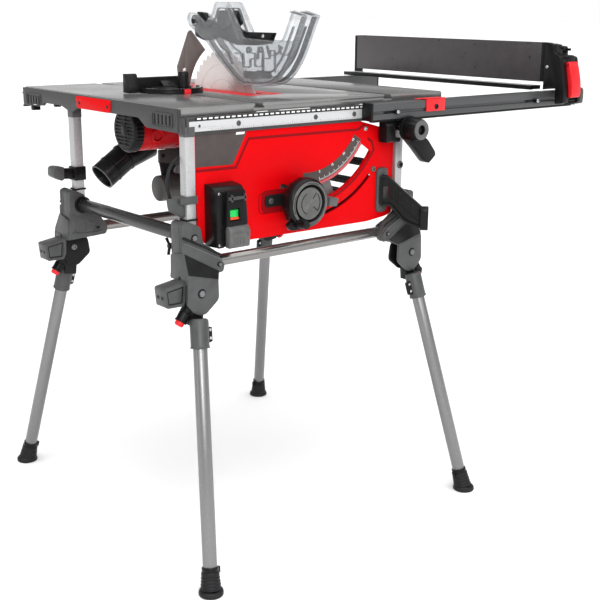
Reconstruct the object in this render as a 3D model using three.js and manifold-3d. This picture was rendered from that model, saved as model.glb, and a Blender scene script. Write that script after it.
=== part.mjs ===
import * as THREE from 'three';
import { mergeVertices } from 'three/addons/utils/BufferGeometryUtils.js';
import Module from 'manifold-3d';

// Portable 10 inch table saw on a folding stand. Millimetres, +Z up, +X right
// along the front rail, +Y from the operator towards the back of the table.
const wasm = await Module();
wasm.setup();

// ---------------------------------------------------------------- dimensions
// Everything is laid out from the plan centre of the four uprights, then the
// finished saw is moved so that its origin is the middle of its footprint.
const ORIGIN_SHIFT = [-258.3, -19.7, 0];
const GAP = 0.3;

const TABLE_TOP = 915;
const TABLE_X = [-294.5, 427.8];
const TABLE_Y = [-216, 428];
const TABLE_T = 17;
const SLOT_X = [-103, 254];
const SLOT_W = 19.6;
const SLOT_D = 9.6;

const UPRIGHT = { x: 280, y: 221, side: 21, wall: 1.6, z0: 640.3, z1: 865.7 };
const TUBE_FRONT = { y: 221, z: 610, r: 12 };
const TUBE_SIDE = { x: 280, z: 667, r: 14 };

const PIVOT = { x: 288.5, y: 256.5, z: 564 };
const LEG = { topY: 259.9, runX: 61, runY: 111, drop: 450, r: 14.3, bore: 12.7 };
const SLEEVE = { r: 19, s0: 52, s1: 108 };
const BUTTON_DIR = [0.6, -0.8];

const TILT = { x: 20, z: TABLE_TOP };
const BLADE = { x: 26, y: 85, r: 127, below: 38, kerf: 2.4, teeth: 40 };
const ARBOR_Z = TABLE_TOP - BLADE.below;
const MOTOR = { y: 135, z: 835, r: 48 };
const WHEEL = { x: -21, z: 711.5, r: 52, y0: -280, y1: -252 };

const PANEL_Y = -226;
const RAIL_X = [162, 880];
const FENCE_X = 780;
const KNOB = { x: 276, z: 843, r: 26 };

// ------------------------------------------------------------------- helpers
const V = (x, y, z) => new THREE.Vector3(x, y, z);

function solid(geometry) {
  const g = geometry.clone();
  g.deleteAttribute('normal');
  g.deleteAttribute('uv');
  const m = mergeVertices(g, 1e-4);
  return new wasm.Manifold(new wasm.Mesh({
    numProp: 3,
    vertProperties: new Float32Array(m.attributes.position.array),
    triVerts: new Uint32Array(m.index.array),
  }));
}

function box(x0, x1, y0, y1, z0, z1) {
  const g = new THREE.BoxGeometry(Math.abs(x1 - x0), Math.abs(y1 - y0), Math.abs(z1 - z0));
  g.translate((x0 + x1) / 2, (y0 + y1) / 2, (z0 + z1) / 2);
  return solid(g);
}

// Cylinder (or cone) between two points.
function rod(a, b, r0, r1 = r0, n = 24) {
  const d = new THREE.Vector3().subVectors(b, a);
  const g = new THREE.CylinderGeometry(r1, r0, d.length(), n);
  g.applyQuaternion(new THREE.Quaternion().setFromUnitVectors(V(0, 1, 0), d.clone().normalize()));
  g.translate((a.x + b.x) / 2, (a.y + b.y) / 2, (a.z + b.z) / 2);
  return solid(g);
}
const rodX = (x0, x1, y, z, r, n) => rod(V(x0, y, z), V(x1, y, z), r, r, n);
const rodY = (y0, y1, x, z, r, n) => rod(V(x, y0, z), V(x, y1, z), r, r, n);
const rodZ = (z0, z1, x, y, r, n) => rod(V(x, y, z0), V(x, y, z1), r, r, n);

// Outline with its corners rounded; each point is [u, v, radius].
function outline(points, fallback = 0) {
  const shape = new THREE.Shape();
  const n = points.length;
  points.forEach((p, i) => {
    const prev = points[(i + n - 1) % n];
    const next = points[(i + 1) % n];
    const c = new THREE.Vector2(p[0], p[1]);
    const a = new THREE.Vector2(prev[0], prev[1]).sub(c);
    const b = new THREE.Vector2(next[0], next[1]).sub(c);
    const r = Math.min(p[2] ?? fallback, a.length() * 0.45, b.length() * 0.45);
    const from = c.clone().add(a.normalize().multiplyScalar(r));
    const to = c.clone().add(b.normalize().multiplyScalar(r));
    if (i === 0) shape.moveTo(from.x, from.y);
    else shape.lineTo(from.x, from.y);
    if (r > 0) shape.quadraticCurveTo(c.x, c.y, to.x, to.y);
  });
  shape.closePath();
  return shape;
}

const BASIS = {
  x: new THREE.Matrix4().makeBasis(V(0, 1, 0), V(0, 0, 1), V(1, 0, 0)),
  y: new THREE.Matrix4().makeBasis(V(1, 0, 0), V(0, 0, 1), V(0, -1, 0)),
  z: new THREE.Matrix4(),
};

// Flat outline given thickness along one axis, from a to b on that axis.
function slab(axis, shape, a, b, steps = 3) {
  const lo = Math.min(a, b);
  const hi = Math.max(a, b);
  const g = new THREE.ExtrudeGeometry(shape, {
    depth: hi - lo,
    bevelEnabled: false,
    curveSegments: steps,
  });
  g.applyMatrix4(BASIS[axis]);
  if (axis === 'x') g.translate(lo, 0, 0);
  if (axis === 'y') g.translate(0, hi, 0);
  if (axis === 'z') g.translate(0, 0, lo);
  return solid(g);
}

// Part of a ring in the XZ plane round the tilt axis; angles from straight down,
// positive towards +X.
function tiltArc(r0, r1, deg0, deg1, y0, y1, steps = 14) {
  const a0 = THREE.MathUtils.degToRad(deg0 - 90);
  const a1 = THREE.MathUtils.degToRad(deg1 - 90);
  const s = new THREE.Shape();
  s.absarc(TILT.x, TILT.z, r1, a0, a1, false);
  s.absarc(TILT.x, TILT.z, r0, a1, a0, true);
  s.closePath();
  return slab('y', s, y0, y1, steps);
}

const union = (first, ...rest) => rest.reduce((a, b) => a.add(b), first);
const cut = (first, ...rest) => rest.reduce((a, b) => a.subtract(b), first);

const saw = new THREE.Group();
saw.name = 'table_saw';

function part(name, body, color, roughness, metalness) {
  const mesh = body.getMesh();
  const g = new THREE.BufferGeometry();
  g.setAttribute('position', new THREE.BufferAttribute(new Float32Array(mesh.vertProperties), 3));
  g.setIndex(new THREE.BufferAttribute(new Uint32Array(mesh.triVerts), 1));
  const flat = g.toNonIndexed();
  flat.translate(...ORIGIN_SHIFT);
  flat.computeVertexNormals();
  const m = new THREE.Mesh(flat, new THREE.MeshStandardMaterial({ color, roughness, metalness }));
  m.name = name;
  saw.add(m);
}

const DARK = [0x3c3e40, 0.55, 0.2];
const BLACK = [0x17181a, 0.6, 0.0];
const RED = [0xd8121c, 0.4, 0.1];
const SILVER = [0xb9bcbe, 0.35, 0.9];
const CAST = [0x6f7274, 0.45, 0.7];

// ------------------------------------------------------- table and its skirts
{
  const [x0, x1] = TABLE_X;
  const [y0, y1] = TABLE_Y;
  const under = TABLE_TOP - TABLE_T;
  let t = box(x0, x1, y0, y1, under, TABLE_TOP);
  const leftSkirt = outline([
    [y1, under + 1], [y1, 872], [345, 872], [300, 884], [-77, 884], [-100, 868],
    [-232, 867], [-232, 896], [y0, 896], [y0, under + 1],
  ]);
  t = union(
    t,
    slab('x', leftSkirt, x0, x0 + 8),
    box(x1 - 8, x1, y0, y1, 872, under + 1),
    box(x0, x1, y1 - 8, y1 + 12.5, 872, 897),
    box(x0, -266, 206, 250, 866.3, under + 1),
    box(266, 296, 206, 250, 866.3, under + 1),
    box(-26, 78, 289, 296, 850, under + 1),
  );
  for (const x of SLOT_X) {
    t = cut(
      t,
      box(x - SLOT_W / 2, x + SLOT_W / 2, y0 - 1, y1 + 20, TABLE_TOP - SLOT_D, TABLE_TOP + 1),
      box(x - 13, x + 13, y0 - 1, y1 + 20, TABLE_TOP - SLOT_D, TABLE_TOP - SLOT_D + 3.2),
      box(x - 15.5, x + 15.5, y0 - 1, y0 + 3, TABLE_TOP - SLOT_D - 1.5, TABLE_TOP + 1),
    );
  }
  const opening = outline([[-19, -75, 14], [71, -75, 14], [71, 285, 14], [-19, 285, 14]]);
  const rebate = outline([[-24, -80, 18], [76, -80, 18], [76, 290, 18], [-24, 290, 18]]);
  t = cut(
    t,
    slab('z', opening, under - 60, TABLE_TOP + 1),
    slab('z', rebate, TABLE_TOP - 3, TABLE_TOP + 1),
    box(-282, -120, -200, 95, under - 1, under + 9),
    box(-282, -120, 105, 412, under - 1, under + 9),
    box(-86, -30, -200, 412, under - 1, under + 6),
    box(82, 236, -200, 95, under - 1, under + 9),
    box(82, 236, 105, 412, under - 1, under + 9),
    box(272, 414, -200, 95, under - 1, under + 9),
    box(272, 414, 105, 412, under - 1, under + 9),
  );
  for (const start of [-190, 354]) {
    for (let i = 0; i < 5; i += 1) {
      const y = start + i * 14;
      t = cut(t, box(x0 - 1, x0 + 9, y, y + 5, 877, 895));
    }
  }
  // carrying grip plate on the left skirt
  t = t.add(slab('x', outline([
    [33, 884.5, 7], [178, 884.5, 7], [178, 909, 5], [33, 909, 5],
  ]), x0 - 4, x0 + 1));
  part('table_top', t, ...CAST);

  let plate = slab('z', outline([
    [-23.7, -79.7, 17.7], [75.7, -79.7, 17.7], [75.7, 289.7, 17.7], [-23.7, 289.7, 17.7],
  ]), TABLE_TOP - 3 + GAP, TABLE_TOP);
  const kerf = outline([[22.5, -50, 2], [38, -50, 2], [38, 278, 2], [22.5, 278, 2]]);
  plate = cut(plate, slab('z', kerf, 900, 930), rodZ(900, 930, 58, -60, 9, 20));
  part('throat_plate', plate, ...RED);

}

// ---------------------------------------------------------- fixed front rail
{
  const section = outline([
    [-216.3, 896], [-228, 896], [-228, 889.5], [-232, 889.5], [-232, 869],
    [-229, 869], [-229, 866], [-216.3, 866],
  ]);
  const rail = slab('x', section, -285.5, 427.8);
  part('front_rail_fixed', rail, ...SILVER);
}

// ------------------------------------------------------------ red front panel
{
  const edge = outline([
    [-266, 864, 2], [160, 864, 6], [228, 846, 6], [246, 828, 6], [266, 820, 4],
    [266, 652, 10], [248, 646, 10], [190, 640, 10], [-232, 643, 10], [-263, 658, 10],
  ]);
  let panel = slab('y', edge, PANEL_Y, PANEL_Y + 3);
  const flange = cut(
    slab('y', edge, PANEL_Y + 2, PANEL_Y + 10),
    box(-262, 262, PANEL_Y + 1, PANEL_Y + 11, 648, 816),
    box(-262, 150, PANEL_Y + 1, PANEL_Y + 11, 815, 860),
    box(149, 224, PANEL_Y + 1, PANEL_Y + 11, 815, 843),
  );
  panel = cut(
    panel.add(flange),
    tiltArc(183, 215.5, -24, 56, PANEL_Y - 2, PANEL_Y + 12),
    tiltArc(239.5, 248.5, -8, 46, PANEL_Y - 2, PANEL_Y + 12),
  );
  part('front_panel', panel, ...RED);
}

// ------------------------------------------------------------- upright tubes
const CORNERS = { fl: [-1, -1], fr: [1, -1], rl: [-1, 1], rr: [1, 1] };
for (const [key, [sx, sy]] of Object.entries(CORNERS)) {
  const { x, y, side, wall, z0, z1 } = UPRIGHT;
  const h = side / 2;
  const tube = cut(
    box(sx * x - h, sx * x + h, sy * y - h, sy * y + h, z0, z1),
    box(sx * x - h + wall, sx * x + h - wall, sy * y - h + wall, sy * y + h - wall, z0 - 1, z1 + 1),
  );
  part(`upright_${key}`, tube, ...SILVER);
}

// --------------------------------------------------------------- lower tubes
for (const [key, sy] of [['front', -1], ['rear', 1]]) {
  const y = sy * TUBE_FRONT.y;
  const tube = cut(
    rodX(-246, 246, y, TUBE_FRONT.z, TUBE_FRONT.r, 20),
    rodX(-250, 250, y, TUBE_FRONT.z, TUBE_FRONT.r - 1.6, 20),
  );
  part(`lower_tube_${key}`, tube, ...SILVER);
}
for (const [key, sx] of [['left', -1], ['right', 1]]) {
  const x = sx * TUBE_SIDE.x;
  const tube = cut(
    rodY(-205.7, 205.7, x, TUBE_SIDE.z, TUBE_SIDE.r, 20),
    rodY(-210, 210, x, TUBE_SIDE.z, TUBE_SIDE.r - 1.6, 20),
  );
  part(`lower_tube_${key}`, tube, ...SILVER);
}

// ------------------------------------------------- corner castings of the stand
for (const [key, [sx, sy]] of Object.entries(CORNERS)) {
  const at = (pts) => outline(pts.map(([x, z, r]) => [sx * x, z, r]));
  const yy = (v) => sy * v;
  const upper = at([
    [312, 699, 6], [300, 703, 4], [272, 690, 6], [266, 658, 4], [234, 637, 6], [216, 610, 5],
    [221, 592, 5], [252, 592, 3], [262, 588], [319, 588], [312, 632, 8],
  ]);
  const cheek = at([
    [319, 600], [321, 545, 8], [305, 527, 8], [291, 521.5, 6], [279, 521.5, 6],
    [247, 547, 8], [257, 578, 6], [262, 600],
  ]);
  let body = union(
    slab('y', upper, yy(206), yy(250)),
    slab('y', cheek, yy(267), yy(274)),
    slab('y', cheek, yy(239), yy(246)),
    box(sx * 262, sx * 319.5, yy(239), yy(274), 588, 600),
  );
  if (sx < 0) {
    const storageFoot = at([[312, 592], [366, 583, 5], [362, 544, 5], [322, 543], [315, 556]]);
    body = body.add(slab('y', storageFoot, yy(228), yy(262)));
  }
  const { x, y } = UPRIGHT;
  body = cut(
    body,
    box(sx * (x - 10.8), sx * (x + 10.8), yy(y - 10.8), yy(y + 10.8), 640, 720),
    rodX(sx * 200, sx * 248, yy(TUBE_FRONT.y), TUBE_FRONT.z, TUBE_FRONT.r + GAP, 20),
  );
  // the front pair is relieved behind, where the panel's lower corners bolt on
  if (sy < 0) body = cut(body, box(sx * 190, sx * 267.5, -227.5, -200, 636, 720));
  part(`bracket_${key}`, body, ...DARK);
}

// ---------------------------------------------------------------- folding legs
for (const [key, [sx, sy]] of Object.entries(CORNERS)) {
  const top = V(sx * PIVOT.x, sy * LEG.topY, PIVOT.z);
  const dir = V(sx * LEG.runX, sy * LEG.runY, -LEG.drop).normalize();
  const on = (s) => top.clone().addScaledVector(dir, s);
  const total = PIVOT.z / -dir.z;
  const y0 = sy * (PIVOT.y - 10);
  const y1 = sy * (PIVOT.y + 10);

  const lean = Math.hypot(LEG.runX, LEG.drop);
  const u = [(sx * LEG.runX) / lean, -LEG.drop / lean];
  const strip = (d, w, len) => {
    const px = sx * PIVOT.x;
    const nx = -d[1] * w;
    const nz = d[0] * w;
    return slab('y', outline([
      [px + nx, PIVOT.z + nz], [px - nx, PIVOT.z - nz],
      [px - nx + d[0] * len, PIVOT.z - nz + d[1] * len],
      [px + nx + d[0] * len, PIVOT.z + nz + d[1] * len],
    ]), y0, y1);
  };
  const b = [sx * BUTTON_DIR[0], BUTTON_DIR[1]];
  const bp = (s) => V(sx * PIVOT.x + b[0] * s, sy * PIVOT.y, PIVOT.z + b[1] * s);
  let head = union(
    rodY(y0, y1, sx * PIVOT.x, PIVOT.z, 18, 24),
    strip(u, 14, 64),
    strip(b, 8.5, 49),
    rod(on(SLEEVE.s0), on(SLEEVE.s1), SLEEVE.r, SLEEVE.r, 24),
    rod(bp(47), bp(66), 12.5, 12.5, 20),
  );
  head = cut(
    head,
    rod(on(72), on(SLEEVE.s1 + 2), LEG.r + GAP, LEG.r + GAP, 24),
    rod(bp(53), bp(68), 9.6, 9.6, 20),
  );
  part(`leg_${key}_head`, head, ...DARK);

  part(`leg_${key}_button`, rod(bp(60), bp(74), 9.2, 8.2, 20), ...RED);

  part(`leg_${key}_tube`, cut(
    rod(on(73), on(560), LEG.r, LEG.r, 20),
    rod(on(70), on(565), LEG.bore, LEG.bore, 20),
  ), ...SILVER);

  const ground = on(total);
  let foot = union(
    rod(on(542), on(total - 8), 17.5, 20.5, 24),
    rodZ(0, 8, ground.x, ground.y, 24.5, 24),
  );
  foot = cut(
    foot,
    rod(on(540), on(561), LEG.r + GAP, LEG.r + GAP, 20),
    box(ground.x - 60, ground.x + 60, ground.y - 60, ground.y + 60, -30, 0),
  );
  part(`leg_${key}_foot`, foot, ...BLACK);
}

// --------------------------------------------------------- tilting carriage
const wheelAngle = THREE.MathUtils.radToDeg(Math.atan2(WHEEL.x - TILT.x, TILT.z - WHEEL.z));
{
  let c = union(
    tiltArc(60, 252, -22, 22, -214, -206, 8),
    tiltArc(60, 252, -10, 22, 278, 286, 8),
    box(78, 82, -207, 279, 724, 792),
    // guide bars for the height slide and their lugs
    rodZ(695, 891, 6, -188, 7, 16),
    rodZ(695, 891, 6, 258, 7, 16),
    box(-8, 16, -207, -178, 885.5, 891),
    box(-8, 18, -207, -178, 690, 702),
    box(-8, 16, 248, 279, 885.5, 891),
    box(-8, 18, 248, 279, 690, 702),
    box(-8, 16, -214, -206, 850, 891),
    box(-8, 16, 278, 286, 850, 891),
    // lock stud that runs in the narrow arc slot
    rodY(PANEL_Y - 1, -205, TILT.x + 244 * Math.sin(-0.06), TILT.z - 244 * Math.cos(-0.06), 3.5, 14),
  );
  c = cut(c, rodY(-230, -200, WHEEL.x, WHEEL.z, 6.6, 20));
  part('tilt_carriage', c, ...CAST);
}

// height screw, turned by the handwheel through a bevel pair
part('lift_screw', union(
  rodZ(727, 884, -21, -188, 5.2, 14),
  rod(V(-21, -188, 724), V(-21, -188, 733), 10, 6, 16),
), ...SILVER);

// ----------------------------------------------------- motor, gearcase, slide
{
  const gearcase = outline([
    [58, 884, 12], [72, 897, 12], [98, 897, 12], [150, 884, 26], [183, 862, 26],
    [183, 808, 26], [158, 787, 26], [112, 787, 20], [86, 812, 20], [58, 850, 14],
  ]);
  let m = union(
    slab('x', gearcase, -60, 2),
    rodX(-190, -59, MOTOR.y, MOTOR.z, MOTOR.r, 28),
    rod(V(-204, MOTOR.y, MOTOR.z), V(-188, MOTOR.y, MOTOR.z), 44, 50, 28),
    box(-12, 4, -190, 262, 852, 878),
    box(-34, 18, -203, -173, 848, 882),
    box(-12, 18, 244, 272, 848, 882),
    box(-12, 11.7, 60, 110, 760, 800),
    box(-40, -10, 78, 118, 775, 800),
  );
  let shroud = slab('x', outline([
    [-52, 862], [-50, 800, 60], [0, 742, 60], [85, 736, 40], [170, 742, 60],
    [220, 800, 60], [222, 862],
  ]), 12, 40, 6);
  shroud = cut(
    shroud,
    slab('x', outline([
      [-48, 870], [-46, 802, 60], [2, 746, 60], [85, 740, 40], [168, 746, 60],
      [216, 802, 60], [218, 870],
    ]), 15, 37, 6),
    rodX(0, 60, BLADE.y, ARBOR_Z, 27, 24),
  );
  m = union(
    m,
    shroud,
    box(14, 38, 75, 115, 700, 742),
    rodX(-150, 30, 95, 705, 29, 28),
    box(-60, -40, 88, 102, 722, 790),
  );
  m = cut(
    m,
    rodZ(840, 890, 6, -188, 7.4, 16),
    rodZ(840, 890, 6, 258, 7.4, 16),
    rodZ(840, 890, -21, -188, 5.6, 14),
    rodX(1.5, 14, BLADE.y, ARBOR_Z, 12, 20),
    rodX(-20, 14, BLADE.y, ARBOR_Z, 8.3, 20),
  );
  part('motor_unit', m, ...RED);
}

// -------------------------------------------------------------------- blade
{
  const s = new THREE.Shape();
  const n = BLADE.teeth;
  for (let i = 0; i < n; i += 1) {
    const a = (i / n) * Math.PI * 2;
    const step = (Math.PI * 2) / n;
    const tip = [BLADE.y + BLADE.r * Math.cos(a), ARBOR_Z + BLADE.r * Math.sin(a)];
    const r1 = BLADE.r - 9;
    const gullet = [BLADE.y + r1 * Math.cos(a + step * 0.22), ARBOR_Z + r1 * Math.sin(a + step * 0.22)];
    const r2 = BLADE.r - 2.5;
    const back = [BLADE.y + r2 * Math.cos(a + step * 0.62), ARBOR_Z + r2 * Math.sin(a + step * 0.62)];
    if (i === 0) s.moveTo(...tip);
    else s.lineTo(...tip);
    s.lineTo(...gullet);
    s.lineTo(...back);
  }
  s.closePath();
  const h = BLADE.kerf / 2;
  const disc = slab('x', s, BLADE.x - h, BLADE.x + h);
  part('blade', union(
    disc,
    rodX(BLADE.x - 4.5, BLADE.x + 4.5, BLADE.y, ARBOR_Z, 19.5, 24),
    rodX(4.3, BLADE.x + 14, BLADE.y, ARBOR_Z, 7.9, 20),
    rodX(BLADE.x + 3, BLADE.x + 11.5, BLADE.y, ARBOR_Z, 12, 6),
  ), 0xd9d6d2, 0.25, 0.95);
}

// ------------------------------------------------- riving knife and blade guard
{
  const s = new THREE.Shape();
  const arc = (r, d) => [BLADE.y + r * Math.cos(d * Math.PI / 180), ARBOR_Z + r * Math.sin(d * Math.PI / 180)];
  s.moveTo(...arc(142, 61));
  for (let d = 56; d >= -14; d -= 7) s.lineTo(...arc(142, d));
  s.lineTo(240, 843);
  s.lineTo(240, 905);
  s.lineTo(268, 922);
  s.lineTo(273, 958);
  s.lineTo(225, 1038);
  s.quadraticCurveTo(219, 1046, 209, 1043);
  s.closePath();
  const knife = cut(
    slab('x', s, BLADE.x - 1.1, BLADE.x + 1.1, 4),
    rodX(20, 32, 240, 953, 4, 14),
  );
  part('riving_knife', knife, 0x4a403b, 0.5, 0.6);

  let spine = slab('x', outline([
    [188, 1072, 8], [178, 1080, 6], [140, 1072, 10], [92, 1060, 10], [59, 1096, 3], [50, 1094, 3],
    [24, 1052, 8], [0, 1045, 6], [-104, 1046, 3], [-90, 1023, 3], [-50, 1018, 10],
    [20, 1016, 10], [90, 1030, 10], [148, 1022, 6], [186, 1032, 6],
  ]), 20, 32, 2);
  spine = union(
    cut(spine, box(24.4, 27.6, 130, 240, 990, 1050)),
    rodX(3.5, 48.5, 170, 1065, 5, 16),
  );
  part('guard_spine', spine, 0x3a3a3c, 0.5, 0.3);

  const side = outline([
    [189, 1056, 6], [197, 1070, 10], [188, 1084, 8], [165, 1083, 6], [127, 1060, 8], [97, 1082, 6],
    [83, 1108, 4], [38, 1107, 5], [-3, 1051, 6], [-14, 1032, 8], [-150, 1028, 12], [-186, 1091, 2],
    [-226, 1082, 2], [-181, 995, 30], [-147, 957, 30], [-116, 940, 20], [-75, 933, 14],
    [-11, 932, 14], [22, 949, 20], [79, 988, 10], [118, 1020, 10],
  ]);
  const rim = outline([
    [-224, 1085], [-226, 1082], [-181, 995, 30], [-147, 957, 30], [-112, 937.5], [-110, 940.5],
    [-145, 960, 30], [-178, 997, 30], [-221, 1083],
  ]);
  for (const [key, a, b, outer] of [['left', 5, 19.5, 0], ['right', 32.5, 47, 1]]) {
    const wall = outer ? [b - 2.5, b] : [a, a + 2.5];
    part(`guard_${key}`, cut(
      union(
        slab('x', side, ...wall, 3),
        slab('x', rim, a, b, 3),
        rodX(a, b, 60, 1100, 3, 10),
      ),
      rodX(0, 60, 170, 1065, 5.4, 16),
    ), 0xb9bcc0, 0.15, 0.0);
  }
}

// ------------------------------------------------------ handwheel and its crank
{
  const { x, z, r, y0, y1 } = WHEEL;
  let wheel = union(
    rodY(y0 + 3, y1, x, z, r, 40),
    rodY(y0, y0 + 4, x, z, r - 3, 40),
    rodY(y1 - 1, -190, x, z, 6, 16),
    rod(V(x, -203, z), V(x, -194, z), 6, 9, 16),
  );
  wheel = cut(
    wheel,
    rodY(y0 - 1, y0 + 3, x, z, r - 15, 32),
    rodY(y0 - 1, y0 + 16, x - 27, z - 38, 9.5, 20),
  );
  part('handwheel', wheel, ...DARK);
  part('crank_knob', union(
    rodY(y0 + 0.5, y0 + 14, x - 27, z - 38, 5, 14),
    rodY(y0 - 24, y0 + 1, x - 27, z - 38, 8.6, 18),
  ), ...BLACK);
}
{
  const { x, z } = WHEEL;
  const lever = union(
    rodY(-249, -238, x, z, 18, 24),
    slab('y', outline([
      [x + 10, z - 6], [x + 88, z - 15, 3], [x + 92, z - 3, 3], [x + 10, z + 9],
    ]), -247, -241),
    box(x + 70, x + 92, -262, -241, z - 15, z - 2),
  );
  part('bevel_lock', cut(lever, rodY(-255, -230, x, z, 6.5, 20)), ...BLACK);
}

// ------------------------------------------------------------------- switch
{
  const boxX = [-236, -170];
  let body = slab('x', outline([
    [PANEL_Y - GAP, 645], [PANEL_Y - GAP, 768, 3], [-258, 764, 8], [-266, 750, 4], [-266, 648, 3],
  ]), boxX[0], boxX[1]);
  body = union(body, slab('x', outline([
    [-262, 757], [-270, 752, 3], [-276, 690, 3], [-262, 690],
  ]), -226, -170));
  body = cut(body, box(-221, -197, -290, -256, 698, 723));
  part('switch_box', body, ...BLACK);
  part('switch_rocker', slab('x', outline([
    [-263, 700.5], [-263, 720.5, 2], [-272, 719, 2], [-269, 710, 3], [-275.5, 701.5, 2],
  ]), -220.5, -197.5), 0x1fb04a, 0.35, 0.0);
  part('stop_paddle', union(
    slab('x', outline([
      [-267.5, 684], [-266.8, 646, 2], [-281, 645, 4], [-284, 680, 8], [-275, 688.5, 3],
    ]), -225.5, -170.5),
    rodX(-225.5, -170.5, -272.5, 684, 5.1, 16),
  ), 0x5b5e61, 0.5, 0.0);
}

// ----------------------------------------------------------- cord wrap bracket
{
  const plate = slab('y', outline([
    [214, 656, 12], [248, 656, 12], [248, 758, 12], [214, 758, 12],
  ]), PANEL_Y - 6, PANEL_Y - GAP);
  const g = new THREE.ExtrudeGeometry(outline([
    [0, 672, 4], [0, 740, 4], [14, 740, 10], [92, 672, 6], [97, 668, 3], [97, 624, 3], [60, 634, 20],
  ]), { depth: 12, bevelEnabled: false, curveSegments: 3 });
  g.translate(0, 0, -6);
  g.rotateX(Math.PI / 2);
  g.rotateZ(THREE.MathUtils.degToRad(-46));
  g.translate(226, -231, 0);
  const tip = solid(g);
  const e = new THREE.BoxGeometry(5, 30, 50);
  e.translate(99, 0, 646);
  e.rotateZ(THREE.MathUtils.degToRad(-46));
  e.translate(226, -231, 0);
  part('cord_hook', union(plate, tip, solid(e)), ...BLACK);
}

// ------------------------------- rail drive: bearing, knob with pinion, lock lever
{
  const { x, z, r } = KNOB;
  part('rail_bearing', cut(
    slab('y', outline([[215, 815, 6], [302, 815, 6], [302, 856, 3], [215, 856, 3]]), -258, -232.4),
    rodY(-262, -243, x, z, 17.8, 24),
    rodY(-262, -230, x, z, 6.5, 18),
  ), ...BLACK);
  part('rail_knob', union(
    rodY(-302, -268, x, z, r, 16),
    rodY(-269, -236, x, z, 6, 16),
    rodY(-257.5, -245, x, z, 17, 24),
  ), ...DARK);
  part('rail_lock_lever', cut(
    union(
      rodY(-267.5, -260.4, x, z, 28, 24),
      slab('y', outline([
        [x + 2, z - 27], [x + 30, z - 72, 3], [x + 38, z - 82, 3], [x + 58, z - 70, 4],
        [x + 30, z - 26, 5], [x + 24, z - 15],
      ]), -284, -261),
    ),
    rodY(-290, -255, x, z, 6.5, 18),
    rodY(-290, -267.5, x, z, 27, 24),
  ), ...BLACK);
}

// -------------------------------------------------- sliding rails with the rack
{
  const [x0, x1] = RAIL_X;
  const section = outline([
    [-234.5, 902, 1], [-259.5, 902, 2], [-259.5, 883], [-256.5, 883], [-256.5, 878.5],
    [-259.5, 878.5], [-259.5, 866, 2], [-234.5, 866, 1],
  ]);
  const rack = new THREE.Shape();
  const pitch = 10;
  rack.moveTo(x0 + 6, 868);
  rack.lineTo(x0 + 6, 864);
  for (let x = x0 + 8; x < x1 - 12; x += pitch) {
    rack.lineTo(x, 864);
    rack.lineTo(x + 2.2, 860.8);
    rack.lineTo(x + 5, 860.8);
    rack.lineTo(x + 7.2, 864);
  }
  rack.lineTo(x1 - 4, 864);
  rack.lineTo(x1 - 4, 868);
  rack.closePath();
  const rail = union(
    slab('x', section, x0, x1),
    slab('y', rack, -256.5, -246),
    box(x1 - 4, x1 + 26, -272, -231, 866, 908),
    box(331, 391, -262, -258, 876, 905),
    box(331, 391, -262, -240, 901, 905),
  );
  part('front_rail', rail, ...DARK);
  part('rear_rail', union(
    slab('x', outline([
      [442, 902, 1], [462, 902, 2], [462, 883], [459, 883], [459, 878.5], [462, 878.5],
      [462, 868, 2], [442, 868, 1],
    ]), x0 + 4, 860),
    box(x0 + 6, 856, 446, 456, 862, 869),
  ), ...DARK);
}

// ---------------------------------------------------------------- rip fence
{
  const y0 = -235;
  const y1 = 463;
  let beam = slab('y', outline([
    [FENCE_X, 922, 1], [FENCE_X + 26, 922, 1], [FENCE_X + 26, 1018, 2], [FENCE_X, 1018, 2],
  ]), y0, y1);
  beam = cut(beam, box(FENCE_X + 2.5, FENCE_X + 23.5, y0 - 1, y1 + 1, 924.5, 1015.5));
  beam = beam.add(box(FENCE_X + 3, FENCE_X + 25.5, 440, 463, 902.5, 923));
  part('fence_beam', beam, 0x2c292a, 0.7, 0.3);

  let head = slab('x', outline([
    [y0 - GAP, 903], [y0 - GAP, 1017, 2], [-262, 1015, 3], [-266, 992, 4], [-280, 988, 6],
    [-300, 900, 6], [-300, 872, 4], [-274, 870, 3], [-273.5, 909], [-260, 909], [-260, 903],
  ]), 774, 846, 3);
  head = cut(head, box(796, 834, -310, -284, 880, 982));
  part('fence_head', head, ...BLACK);

  part('fence_latch', union(
    slab('x', outline([
      [-285.5, 966], [-294, 969, 2], [-305, 930, 30], [-308, 890, 5], [-300, 886, 4], [-286, 900, 6],
    ]), 797, 833),
    rodX(797, 833, -289.5, 968, 5.2, 16),
  ), ...RED);

  part('fence_ledge', union(
    box(738, FENCE_X - 2, -228, 463, 905.5, 914.7),
    box(738, 748, -228, 463, 904, 914.7),
  ), ...BLACK);
}

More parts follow.
